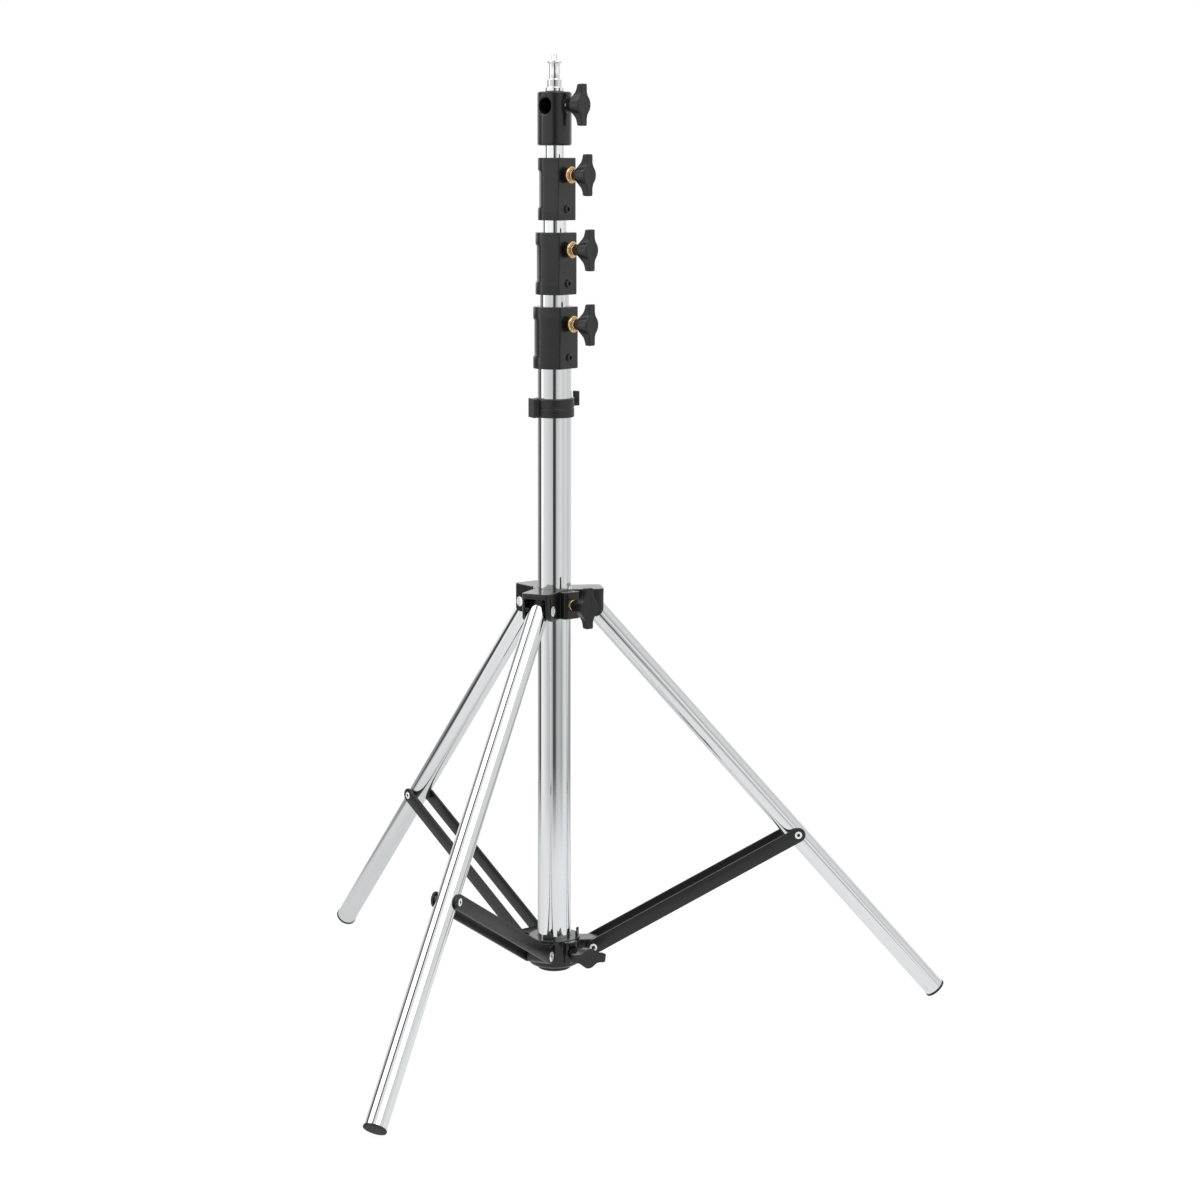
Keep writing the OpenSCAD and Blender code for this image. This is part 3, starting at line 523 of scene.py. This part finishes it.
def braceFrame(number):  # x runs up the brace from its base pivot
    return linkFrame(number, basePivotZ, -braceAngle)


def legs():
    leg = {"radius": 11.0, "wall": 1.5, "past": 6.6, "rim": 2.3, "plug": 11.5, "plugInside": 9.4,
           "plugDepth": 15, "bevel": 0.35, "bevelIn": 0.5, "soft": 0.3, "segments": 96, "plugSegments": 72}
    length = (hubPivotZ - leg["plug"] * math.sin(legAngle)) / math.cos(legAngle)
    inside, plug, rim = leg["plugInside"], leg["plug"], length - leg["rim"]
    foot = [(inside, length - leg["plugDepth"]), (inside, rim), (plug, rim), (plug, length - leg["bevel"]),
            (plug - leg["bevelIn"], length), (axisGap, length)]
    foot = lathe(rounded(foot, leg["soft"]), leg["plugSegments"])
    shape = tube(leg["radius"], leg["wall"], -leg["past"], rim, leg["segments"])
    for n in (1, 2, 3):
        body, place = f"leg_{n}", legFrame(n)
        addPiece(f"leg_{n}_tube", shape, body, "chrome_tube", place)
        addPiece(f"leg_{n}_foot", foot, body, "rubber", place)


legs()
print("legs made")


# braces and rivets
def bars():
    bar = {"width": 15.5, "thick": 2.5, "inside": 11.5, "edge": 0.45, "bevel": 0.13, "ends": 14}
    half, near, far = bar["width"] / 2, bar["inside"], bar["inside"] + bar["thick"]
    outline = []                                          # centre of an end's arc, and the way out from it
    for x, start in ((braceLength, -math.pi / 2), (0, math.pi / 2)):
        for k in range(bar["ends"] + 1):
            a = start + math.pi * k / bar["ends"]
            outline.append((x, math.cos(a), math.sin(a)))
    levels = ((near, bar["edge"]), (near + bar["bevel"], bar["bevel"]), (near + bar["edge"], 0),
              (far - bar["edge"], 0), (far - bar["bevel"], bar["bevel"]), (far, bar["edge"]))
    parts = []
    for side in (-1, 1):
        rings = [[(x + (half - cut) * cx, side * y, (half - cut) * cz) for x, cx, cz in outline]
                 for y, cut in levels]
        points, faces, _ = loft(rings)
        parts.append((points, [face[::-1] for face in faces] if side > 0 else faces, []))
    points, faces, _ = gathered(parts)
    for n in (1, 2, 3):
        addPiece(f"brace_{n}_bars", (points, faces, None), f"brace_{n}", "black_bar", braceFrame(n))


def rivetHead(rivet, radius, half, inner=0.0):
    # from the middle (or from inner) out to the head, hollow at its end
    head = {"draft": (0.15, 0.45), "rim": 0.75, "lip": 0.25, "well": (0.1, 1.6), "floor": (0.1, 1.7),
            "soft": 0.22, "softSteps": 3}
    high, hollow, shank = rivet["height"], rivet["hollow"], rivet["shank"]
    (drawn, share), (narrower, deep), (floorRadius, floorDeep) = head["draft"], head["well"], head["floor"]
    top = half + high
    profile = [(shank, inner), (shank, half), (radius, half), (radius - drawn, half + high * share),
               (hollow + head["rim"], top), (hollow, top - head["lip"]), (hollow - narrower, half - deep),
               (floorRadius, half - floorDeep)]
    return rounded(profile, head["soft"], head["softSteps"])


def rivets():
    kinds = {"hub_rivets": {"body": "hub", "z": hubPivotZ, "half": 16.0},
             "base_rivets": {"body": "column", "z": basePivotZ, "half": 14.3}}
    large = {"radius": 5.3, "height": 0.8, "shank": 3.0, "hollow": 2.1, "less": 1.2}
    small = {"radius": 3.95, "height": 0.8, "shank": 3.0, "hollow": 1.8, "half": 14.0, "inner": 11.6}
    segments = 40

    def headAt(tip, rivet, radius, half, inner, closeStart):
        points, faces, runs = lathe(rivetHead(rivet, radius, half, inner), segments, closeStart, True)
        return [tip @ Vector(p) for p in points], faces, runs

    for node, kind in kinds.items():
        heads = []
        for n in range(3):
            pivot = turned(120 * n) @ Matrix.Translation((pivotR, 0, kind["z"]))
            for side in (1, -1):
                behindKnob = (n, side) == (0, -1)         # these two heads are a little smaller
                radius = large["radius"] - (large["less"] if behindKnob else 0)
                tip = pivot @ turned(-90 * side, "X")
                heads.append(headAt(tip, large, radius, kind["half"], 0.0, False))
        addPiece(node, gathered(heads), kind["body"], "bright_rivet", upright)
    heads = []
    for side in (1, -1):
        tip = Matrix.Translation((braceLength, 0, 0)) @ turned(-90 * side, "X")
        heads.append(headAt(tip, small, small["radius"], small["half"], small["inner"], True))
    for n in (1, 2, 3):
        addPiece(f"brace_{n}_rivets", gathered(heads), f"brace_{n}", "bright_rivet", braceFrame(n))


bars()
rivets()
print("braces and rivets made")


# collars
clampAngle, footKnobAngle = 316.2, 300.0
collarLow, collarPitch, collarHigh, clampRise, setRise = 682.7, 76.0, 63.7, 46.2, 11.5
collarFaces, collarBodies = (19.2, 17.6, 16.3), ("column", "riser_1", "riser_2")


def smooth(t):
    return t * t * (3 - 2 * t)


def collarOutline(face, back, half, corner, steps=6, cheekSteps=4, arc=40):
    # round back, straight cheeks and a flat with softened corners, seen along the column
    top = Vector((face, half))
    touch = math.atan2(top.y, top.x) + math.acos(min(1.0, back / top.length))
    cheek = Vector((math.cos(touch), math.sin(touch))) * back
    inward = (cheek - top).normalized()
    start, end = top + inward * corner, top + Vector((0, -corner))
    upper = [Vector((face, 0))]
    upper += [Vector((face, end.y * k / steps)) for k in range(1, steps + 1)]
    for k in range(1, steps + 1):
        t = k / steps
        upper.append(end * (1 - t) ** 2 + top * 2 * t * (1 - t) + start * t * t)
    upper += [start.lerp(cheek, k / cheekSteps) for k in range(1, cheekSteps + 1)]
    for k in range(1, arc + 1):
        a = touch + (math.pi - touch) * k / arc
        upper.append(Vector((math.cos(a), math.sin(a))) * back)
    lower = [Vector((p.x, -p.y)) for p in upper[1:-1]][::-1]
    return upper + lower


def collars():
    collar = {"walls": 4.6, "relief": 1.4, "band": 13.0, "blend": 3.6, "blendSteps": 8, "flat": 30.0,
              "edge": 0.9, "edgeSteps": 4, "corner": 1.2, "bore": 0.3, "step": 0.4, "seat": 36.0, "lip": 2.5,
              "reliefFrom": 92.0, "reliefTo": 128.0, "tubeGap": 0.05, "bevel": 0.6, "bevelOut": 0.3,
              "mouth": 1.0, "mouthDepth": 0.7, "columnR": 17.5, "thinner": 2.5}
    high, bevel = collarHigh, collar["bevel"]
    levels = []                                           # height, relief of the back, inset of all of it
    for rise, inset in edgeArc(collar["edge"], collar["edgeSteps"]):
        levels += [(rise, 0.0, inset), (high - rise, 0.0, inset)]
    for k in range(collar["blendSteps"] + 1):
        t = k / collar["blendSteps"]
        rise, relief = collar["band"] + (t - 0.5) * collar["blend"], collar["relief"] * smooth(t)
        levels += [(rise, relief, 0.0), (high - rise, relief, 0.0)]
    for n in (1, 2, 3):
        tubeR = collar["columnR"] - collar["thinner"] * (n - 1)
        riserR = tubeR - collar["thinner"]
        face, outer = collarFaces[n - 1], tubeR + collar["walls"]
        z0 = collarLow + (n - 1) * collarPitch

        def ring(z, relief, inset):                       # the waist is cut back only behind the cheeks
            out = []
            for p in collarOutline(face - inset, outer - inset, collar["flat"] / 2 - inset, collar["corner"]):
                turn = abs(math.degrees(math.atan2(p.y, p.x)))
                share = (turn - collar["reliefFrom"]) / (collar["reliefTo"] - collar["reliefFrom"])
                r = math.hypot(p.x, p.y)
                k = (r - relief * smooth(min(1.0, max(0.0, share)))) / r
                out.append((p.x * k, p.y * k, z0 + z))
            return out

        rings = [ring(*level) for level in sorted(levels)]
        turns = [math.atan2(p[1], p[0]) for p in rings[0]]
        pocket, seat, lip = tubeR - collar["step"], collar["seat"], high - collar["lip"]
        low, bore = tubeR + collar["tubeGap"], riserR + collar["bore"]
        lows = [(pocket, seat), (low, seat), (low, bevel), (low + collar["bevelOut"], 0.0)]
        mouth, mouthLow = riserR + collar["mouth"], high - collar["mouthDepth"]
        highs = [(mouth, high), (bore, mouthLow), (bore, lip), (pocket, lip)]

        def inner(radius, z):
            return [(radius * math.cos(a), radius * math.sin(a), z0 + z) for a in turns]

        rings = [inner(r, z) for r, z in lows] + rings + [inner(r, z) for r, z in highs]
        shape = loft(rings + [rings[0]], False, False)    # the last ring is the first, which makes the bore
        place = upright @ turned(clampAngle)
        addPiece(f"collar_{n}", shape, collarBodies[n - 1], "black_casting", place, sharp=50.0)


collars()
print("collars made")


# wing knobs, bushes and screws
def wingOutline(knob):
    mid, half, tip = knob["width"] / 2, knob["tipWidth"] / 2, knob["length"] / 2
    fillet, corner = knob["fillet"], knob["corner"]
    midSteps, filletSteps, sideSteps, cornerSteps = knob["steps"]
    fx = math.sqrt((mid + fillet) ** 2 - (half + fillet) ** 2)
    lean = math.atan2(half + fillet, fx)
    quarter = []
    for k in range(midSteps + 1):                         # round middle
        a = math.pi / 2 + (lean - math.pi / 2) * k / midSteps
        quarter.append((mid * math.cos(a), mid * math.sin(a)))
    for k in range(1, filletSteps + 1):                   # fillet into the wing
        a = math.pi + lean + (math.pi / 2 - lean) * k / filletSteps
        quarter.append((fx + fillet * math.cos(a), half + fillet + fillet * math.sin(a)))
    for k in range(1, sideSteps):
        quarter.append((fx + (tip - corner - fx) * k / sideSteps, half))
    for k in range(cornerSteps + 1):                      # corner of the tip
        a = math.pi / 2 * (1 - k / cornerSteps)
        quarter.append((tip - corner + corner * math.cos(a), half - corner + corner * math.sin(a)))
    quarter.append((tip, 0.0))
    right = quarter + [(x, -y) for x, y in quarter[-2::-1]]
    return right + [(-x, -y) for x, y in right[1:-1]]


def knobPiece(node, place, turn=0.0, more=0.0, width=20.9):
    knob = {"length": 42.5, "width": width, "tipWidth": 9.2, "tipThick": 5.9, "depth": 20.0, "neck": 5.8,
            "neckStart": ((0.0, 0.6), (0.15, 0.25), (0.6, 0.0)), "neckTop": 1.9, "neckEnd": 2.0,
            "fillet": 10.5, "corner": 1.7, "steps": (14, 12, 4, 8), "edge": 0.8, "edgeSteps": 5, "dish": 0.35,
            "dishRings": (0.85, 0.6, 0.3, 0.03), "narrow": 14.4, "widening": 0.7, "bellSteps": 24,
            "flare": 0.66, "flarePower": 1.25, "rimPower": 12, "wingSteps": 3, "free": 0.1, "past": 0.4}
    outline = wingOutline(knob)
    reach = knob["length"] / 2 + knob["free"]
    depth, edge, neck, neckEnd = knob["depth"], knob["edge"], knob["neck"], knob["neckEnd"]
    bend, wingSteps = depth - knob["tipThick"], knob["wingSteps"]

    def clipped(x, y, limit, soft=0.8):                   # keeps a point inside a circle, softly at its rim
        r = math.hypot(x, y)
        if r < 1e-9:
            return x, y
        k = max(soft - abs(r - limit), 0.0) / soft
        scale = (min(r, limit) - k * k * soft / 4) / r
        return x * scale, y * scale

    def level(z, limit):                                  # the middle widens towards the face
        share = min(max(z, 0.0) / (depth - edge), 1.0) ** knob["widening"]
        wide = wingOutline({**knob, "width": knob["narrow"] + (width - knob["narrow"]) * share})
        return [(*clipped(x, y, limit), z) for x, y in wide]

    def inset(amount):
        out = []
        for i, (x, y) in enumerate(outline):
            a, b = outline[i - 1], outline[(i + 1) % len(outline)]
            t = Vector((b[0] - a[0], b[1] - a[1])).normalized()
            out.append((x + t[1] * amount, y - t[0] * amount))
        return out

    rings = [level(z - more, neck - less) for z, less in knob["neckStart"]] + [level(knob["neckTop"], neck)]
    for k in range(1, knob["bellSteps"] + 1):             # the back opens like a bell from neck to wings
        t = k / knob["bellSteps"]
        share = knob["flare"] * t ** knob["flarePower"] + (1 - knob["flare"]) * t ** knob["rimPower"]
        rings.append(level(neckEnd + (bend - neckEnd) * t, neck + (reach - neck) * share))
    for k in range(1, wingSteps + 1):
        rings.append(level(bend + (depth - edge - bend) * k / wingSteps, reach + knob["past"] * k))
    for deep, less in edgeArc(edge, knob["edgeSteps"])[1:]:
        rings.append([(x, y, depth - deep) for x, y in inset(less)])
    last = rings[-1]
    for share in knob["dishRings"]:                       # the face sinks a little towards its middle
        rings.append([(x * share, y * share, z - knob["dish"] * (1 - share)) for x, y, z in last])
    addPiece(node, loft(rings), node, "knob_plastic", place @ turned(turn), sharp=30.0)


def bushPiece(node, place, body, seat):
    bush = {"profile": ((6.0, -2.0), (6.0, 0.0), (7.4, 0.0), (7.4, 3.9), (8.3, 4.3), (8.7, 5.2), (8.6, 6.3),
                        (7.9, 7.1), (7.1, 7.1), (6.4, 6.2), (5.4, 6.0), (5.2, 8.7), (4.1, 8.9)),
            "soft": 0.6, "segments": 64}
    shape = lathe(rounded(raised(bush["profile"], seat), bush["soft"]), bush["segments"])
    addPiece(node, shape, body, "brass_ring", place, sharp=40.0)


def slimBush(node, place, body, seat, r, finish):
    bush = {"hole": 4.1, "sunk": -3.0, "proud": 2.6, "bevel": 0.4, "segments": 64}
    hole, sunk, top, corner = bush["hole"], bush["sunk"], bush["proud"], bush["bevel"]
    profile = [(hole, sunk), (r, sunk), (r, top - corner), (r - corner, top), (hole, top)]
    shape = lathe(rounded(raised(profile, seat), corner), bush["segments"])
    addPiece(node, shape, body, finish, place, sharp=40.0)


def setScrew(node, place, body, seat):
    screw = {"count": 48, "head": ((4.4, -2.0), (4.4, 1.1), (3.7, 1.8), (2.9, 1.8)), "soft": 0.35,
             "socket": ((2.45, 1.75), (2.3, 1.5), (2.3, -1.2), (0.4, -1.4))}
    sixth = math.pi / 3

    def hexagon(size, z):                                 # across the corners, sampled as a circle is
        out = []
        for k in range(screw["count"]):
            a = 2 * math.pi * k / screw["count"]
            local = (a + sixth / 2) % sixth - sixth / 2
            r = size * math.cos(sixth / 2) / math.cos(local)
            out.append((r * math.cos(a), r * math.sin(a), z))
        return out

    head = rounded(raised(screw["head"], seat), screw["soft"], steps=3)
    rings = [circle(r, z, screw["count"]) for r, z in head]
    rings += [hexagon(size, z) for size, z in raised(screw["socket"], seat)]
    addPiece(node, loft(rings), body, "black_casting", place, sharp=40.0)


def clampGear():
    gear = {"knobSeat": 9.2, "further": (0.5, 1.7, 0.0), "hubRise": 3.9, "hubSeat": 32.0, "hubBush": 5.7,
            "hubWidth": 22.2, "baseSeat": 33.2, "baseBush": 4.9, "baseTurn": 82.0, "neckMore": 6.3,
            "topZ": 951.7, "topSeat": 18.2, "topWidth": 21.6}

    def outTo(place, away):
        return place @ Matrix.Translation((0, 0, away))

    for n in (1, 2, 3):
        z, face, away = collarLow + (n - 1) * collarPitch, collarFaces[n - 1], gear["further"][n - 1]
        place = outwards(clampAngle, z + clampRise)
        bushPiece(f"collar_{n}_bush", place, collarBodies[n - 1], face)
        knobPiece(f"collar_{n}_knob", outTo(place, face + gear["knobSeat"] + away), more=away)
        setScrew(f"collar_{n}_set_screw", outwards(clampAngle, z + setRise), collarBodies[n - 1], face)
    more = gear["neckMore"]
    place = outwards(footKnobAngle, hubPivotZ + gear["hubRise"])
    slimBush("hub_bush", place, "hub", gear["hubSeat"], gear["hubBush"], "brass")
    knobPiece("hub_knob", outTo(place, gear["hubSeat"] + gear["knobSeat"]), 0.0, more, gear["hubWidth"])
    place = outwards(footKnobAngle, basePivotZ)
    slimBush("base_bush", place, "column", gear["baseSeat"], gear["baseBush"], "brass_ring")
    knobPiece("base_knob", outTo(place, gear["baseSeat"] + gear["knobSeat"]), gear["baseTurn"], more)
    knobPiece("top_knob", outTo(outwards(clampAngle, gear["topZ"]), gear["topSeat"]), width=gear["topWidth"])


clampGear()
print("knobs, bushes and set screws made")


# spigot
def spigot():
    stud = {"base": 965.3, "soft": 0.35, "count": 96,
            "profile": ((axisGap, -25.0), (7.0, -25.0), (7.7, -24.3), (7.7, -21.0), (5.9, -20.0), (5.9, -9.0),
                        (7.7, -8.0), (7.7, 0.0), (9.3, 0.0), (9.8, 0.5), (9.8, 3.8), (8.9, 4.7),
                        (7.9375, 4.7), (7.9375, 12.2), (5.9, 13.0), (5.9, 28.6), (7.9375, 29.1),
                        (7.9375, 30.3), (7.1375, 31.1), (3.475, 31.1))}
    tip = {"from": stud["base"] + 31.1, "high": 7.4, "radius": 3.175, "pitch": 1.27, "depth": 0.38,
           "steps": 72, "runIn": 0.6, "runOut": 0.9, "least": 0.05, "chamfer": 0.7}
    profile = rounded(raised(stud["profile"], stud["base"]), stud["soft"], steps=3)
    shank = lathe(profile, stud["count"], True, False)
    rings = []
    for k in range(tip["steps"] + 1):                     # the thread's crest runs round as it climbs
        done = tip["high"] * k / tip["steps"]
        left = tip["high"] - done
        fade = max(min(1.0, left / tip["runOut"], done / tip["runIn"] + tip["least"]), 0.0)
        chamfer = tip["chamfer"] * max(0.0, 1 - left / tip["chamfer"])
        ring = []
        for i in range(stud["count"]):
            a = 2 * math.pi * i / stud["count"]
            wave = abs(((done / tip["pitch"] - i / stud["count"]) % 1.0) * 2 - 1)
            radius = tip["radius"] - tip["depth"] * (1 - wave) * fade - chamfer
            ring.append((radius * math.cos(a), radius * math.sin(a), tip["from"] + done))
        rings.append(ring)
    shape = gathered([shank, loft(rings, False, True)])
    addPiece("spigot", shape, "spigot", "stud", upright, sharp=40.0)


spigot()
print("spigot made")


# castings with freer shapes
def castings():
    # body, finish, slot, voxel in millimetres, smoothing passes, share of the faces kept
    shapes = {"hub_casting": ("hub", "black_casting", "black_casting", 0.5, 4, 0.35),
              "base_casting": ("column", "black_casting", "black_casting", 0.5, 4, 0.35),
              "top_casting": ("riser_3", "black_casting", "black_casting", 0.4, 4, 0.4),
              "clip": ("clip", "clip_plastic", "knob_plastic", 0.35, 3, 0.5)}
    for node, shape in shapes.items():
        softCast(node, *shape)


castings()
print("castings and clip made")


# pieces that keep their solids
def dressNodes():
    slots = {s["node"]: s["material_slot"] for s in frame["record"]["subparts"]}
    for node, piece in frame["nodes"].items():
        piece.data.materials.clear()
        piece.data.materials.append(finishes[slots[node]])


dressNodes()
print("plain pieces dressed")


# room, light and camera
cameraSide = 263.585                                      # degrees, where the camera stands round the stand

# brightness of the room by the angle from the camera's side, in degrees; the floor also glows with these
# bands for mirrored rays only, a painted reflection
farBands = ((-180, 0.80), (-152, 0.74), (-143, 0.34), (-123, 0.24), (-120, 0.03), (-105, 0.03),
            (-101.5, 0.95), (-84, 0.97), (-77, 0.84), (-47, 0.72), (-14, 0.60), (-10.5, 0.48), (-8.5, 0.03),
            (8.5, 0.03), (10.5, 0.44), (17, 0.58), (30, 0.70), (46, 0.78), (59, 0.66), (70, 0.68), (86, 0.78),
            (98, 0.64), (106, 0.60), (118, 0.72), (130, 0.67), (150, 0.80), (180, 0.80))
midBands = ((-180, 0.80), (-152, 0.74), (-143, 0.40), (-123, 0.30), (-120, 0.05), (-105, 0.05),
            (-101.5, 0.92), (-80, 0.90), (-50, 0.60), (-36, 0.52), (-13, 0.46), (-9, 0.06), (8.5, 0.04),
            (12, 0.36), (30, 0.50), (42, 0.44), (51, 0.34), (60, 0.60), (74, 0.78), (90, 0.72), (97, 0.30),
            (104, 0.24), (110, 0.48), (118, 0.42), (124, 0.20), (132, 0.30), (146, 0.70), (180, 0.80))
nearBands = ((-180, 0.76), (-160, 0.71), (-130, 0.71), (-105, 0.84), (-60, 0.91), (0, 0.86), (60, 0.92),
             (120, 0.86), (180, 0.76))
wallBands = ((-180, 0.70), (14, 0.34), (26, 0.38), (42, 0.50), (60, 0.68), (80, 0.76), (100, 0.66),
             (125, 0.62), (180, 0.70))
crestBands = ((-180, 0.98), (-140, 0.96), (-124, 0.60), (-119, 0.20), (-104, 0.20), (-99, 1.05), (-30, 1.05),
              (-14, 0.98), (-9, 0.08), (8, 0.06), (12, 0.80), (24, 0.98), (90, 0.92), (108, 0.70),
              (128, 0.76), (150, 0.95), (180, 0.98))


def grey(v):
    return (v, v, v)


def roomTone(f, turn, bands):
    stops = [((a + 180) / 360, grey(v)) for a, v in bands]
    return f.add("ShaderNodeValToRGB", {"stops": stops}, {"Fac": turn}, "Color")


def turnFrom(f, x, y):  # angle from the camera's side of the stand, 0 to 1, with 0.5 straight ahead
    a = math.radians(cameraSide)
    ahead = x * math.cos(a) + y * math.sin(a)
    side = y * math.cos(a) - x * math.sin(a)
    return side.maths("ARCTAN2", side, ahead) / (2 * math.pi) + 0.5


def window(f, turn, rise, edges):  # 1 inside soft edges: left, right, low and high, each from and to
    left, right, low, high = edges
    mask = f.fade(turn, *left)
    if right:
        mask = mask * (1 - f.fade(turn, *right))
    if low:
        mask = mask * f.fade(rise, *low)
    if high:
        mask = mask * (1 - f.fade(rise, *high))
    return mask


def floor():
    paper = {"size": 30.0, "white": 0.86, "seen": 0.88, "bright": 1.064, "mirrored": 0.97,
             "reflectionNoise": (55.0, 6.0, 0.7), "fleckFrom": 0.3, "fleckShare": 0.5, "fleck": 0.42,
             "paperEnds": (0.56, 1.25), "roomStarts": (2.25, 2.9)}
    mesh = bpy.data.meshes.new("floor")
    s = paper["size"] / 2
    mesh.from_pydata([(-s, -s, 0), (s, -s, 0), (s, s, 0), (-s, s, 0)], [], [(0, 1, 2, 3)])
    sheet = bpy.data.objects.new("floor", mesh)
    scene.collection.objects.link(sheet)
    f = Finish("floorPaper")
    seen, mirrored = f.rays()
    mirrored = f.clamp(mirrored)
    x, y, _ = f.axes(f.place())
    distance, turn = (x * x + y * y) ** 0.5, turnFrom(f, x, y)
    reflectionNoise = f.noise(f.place(), *paper["reflectionNoise"])           # painted reflection: flecks in the floor's glow, which only mirrored rays see
    flecks = (reflectionNoise - paper["fleckFrom"]) * paper["fleckShare"]
    # painted reflection: for mirrored rays the floor glows with a room of grey bands, near, mid and far; the
    # camera sees it evenly white
    near = f.mix(flecks, roomTone(f, turn, nearBands), grey(paper["fleck"]))
    far = f.mix(f.fade(distance, *paper["paperEnds"]), near, roomTone(f, turn, midBands))
    far = f.mix(f.fade(distance, *paper["roomStarts"]), far, roomTone(f, turn, farBands))
    colour = f.mix(mirrored, grey(paper["bright"]), far)
    matt = f.add("ShaderNodeBsdfDiffuse", None, {"Color": grey(paper["white"])})
    glow = f.add("ShaderNodeEmission", None, {"Color": colour, "Strength": 1.0})
    share = (seen * paper["seen"]).most(mirrored * paper["mirrored"])
    f.add("ShaderNodeOutputMaterial", None,
          {"Surface": f.add("ShaderNodeMixShader", None, {0: share, 1: matt, 2: glow})})
    mesh.materials.append(f.owner)


def room():
    studio = {"rightBox": ((8, 18), (66, 80), (30, 38), (66, 76)),
              "rightWall": ((18, 26), (100, 125), (3, 8), (32, 38)),
              "darkStand": ((9.5, 12), (19, 30), None, (9, 15)), "standGap": ((0.6, 0.9), (2.7, 3.0)),
              "backWall": ((132, 150), None, (2, 5), (24, 34)),
              "leftBox": ((-118, -106), (-66, -58), (24, 36), (70, 78)),
              "ceilingGap": ((-62, -52), (-40, -28), (48, 60), None),
              "crest": (4, 9), "ceiling": (20, 46), "ceilingTone": 0.84, "gapTone": 0.03, "standTone": 0.22,
              "backTone": 1.2, "boxTone": 2.2, "soft": (0.97, 0.98, 1.0), "softStrength": 0.62}
    world = bpy.data.worlds.new("studio")
    scene.world = world
    w = Finish("studio", world)
    seen, mirrored = w.rays()
    x, y, z = w.axes(w.place("Generated"))
    turn = turnFrom(w, x, y)
    degrees = turn * 360 - 180
    rise = z.maths("ARCSINE", z, 0.0) * (180 / math.pi)
    boxes = window(w, degrees, rise, studio["rightBox"]).most(window(w, degrees, rise, studio["leftBox"]))
    below, above = studio["standGap"]
    gap = w.fade(rise, *below) * (1 - w.fade(rise, *above))
    darkStand = window(w, degrees, rise, studio["darkStand"]) * (1 - gap)
    behind = (0 - degrees).most(degrees)
    upper = w.mix(w.fade(rise, *studio["crest"]), roomTone(w, turn, crestBands), roomTone(w, turn, farBands))
    upper = w.mix(w.fade(rise, *studio["ceiling"]), upper, grey(studio["ceilingTone"]))
    upper = w.mix(window(w, degrees, rise, studio["ceilingGap"]), upper, grey(studio["gapTone"]))
    upper = w.mix(window(w, degrees, rise, studio["rightWall"]), upper, roomTone(w, turn, wallBands))
    upper = w.mix(darkStand, upper, grey(studio["standTone"]))
    upper = w.mix(window(w, behind, rise, studio["backWall"]), upper, grey(studio["backTone"]))
    upper = w.mix(boxes, upper, grey(studio["boxTone"]))
    tone = w.mix(w.clamp(mirrored), grey(1.0), upper)
    white = w.add("ShaderNodeBackground", None, {"Color": tone, "Strength": 1.0})
    soft = w.add("ShaderNodeBackground", None, {"Color": studio["soft"], "Strength": studio["softStrength"]})
    both = w.add("ShaderNodeMixShader", None, {0: w.clamp(seen + mirrored), 1: soft, 2: white})
    w.add("ShaderNodeOutputWorld", None, {"Surface": both})


def around(angle, distance, z):  # a place at an angle from the camera's direction, positive to its right
    a = math.radians(cameraSide + angle)
    return (distance * math.cos(a), distance * math.sin(a), z)


def lamps():
    settings = {"keyBox": {"at": around(-48, 2.6, 1.9), "to": 0.55, "size": (1.6, 1.6), "power": 34},
                "fillBox": {"at": around(62, 2.8, 1.3), "to": 0.5, "size": (1.4, 1.8), "power": 18},
                "topBox": {"at": (0, 0, 3.0), "to": 0.4, "size": (2.0, 2.0), "power": 22},
                "stripBox": {"at": around(-88, 2.4, 0.9), "to": 0.6, "size": (0.10, 1.5), "power": 1.2}}
    for name, lamp in settings.items():
        data = bpy.data.lights.new(name, "AREA")
        data.shape, data.energy = "RECTANGLE", lamp["power"]
        data.size, data.size_y = lamp["size"]
        light = bpy.data.objects.new(name, data)
        scene.collection.objects.link(light)
        light.location = lamp["at"]
        light.rotation_mode = "QUATERNION"
        light.rotation_quaternion = (Vector((0, 0, lamp["to"])) - Vector(lamp["at"])).to_track_quat("-Z", "Y")
        light.visible_glossy = name == "stripBox"         # only the strip shows in the chrome


def camera():
    view = {"direction": cameraSide, "distance": 2.806919, "height": 0.900415, "focal": 2724.914,
            "yaw": -0.965, "pitch": 6.785, "roll": 0.126, "shift": -0.10, "picture": 1200, "sensor": 36.0,
            "clip": (0.05, 60.0)}                         # metres, degrees, and pixels for focal and picture
    data = bpy.data.cameras.new("camera")
    data.sensor_width = view["sensor"]
    data.lens = view["focal"] / view["picture"] * view["sensor"]
    data.shift_y = view["shift"]
    data.clip_start, data.clip_end = view["clip"]
    eye = bpy.data.objects.new("camera", data)
    scene.collection.objects.link(eye)
    a = math.radians(view["direction"])
    eye.location = (view["distance"] * math.cos(a), view["distance"] * math.sin(a), view["height"])
    look, down, roll = a + math.pi + math.radians(view["yaw"]), math.radians(view["pitch"]), view["roll"]
    ahead = Vector((math.cos(look) * math.cos(down), math.sin(look) * math.cos(down), -math.sin(down)))
    eye.rotation_mode = "QUATERNION"
    eye.rotation_quaternion = ahead.to_track_quat("-Z", "Y") @ Quaternion((0, 0, 1), math.radians(roll))
    scene.camera = eye


floor()
room()
camera()
lamps()
scene.view_settings.view_transform = "Standard"
print("room, lamps and camera made")
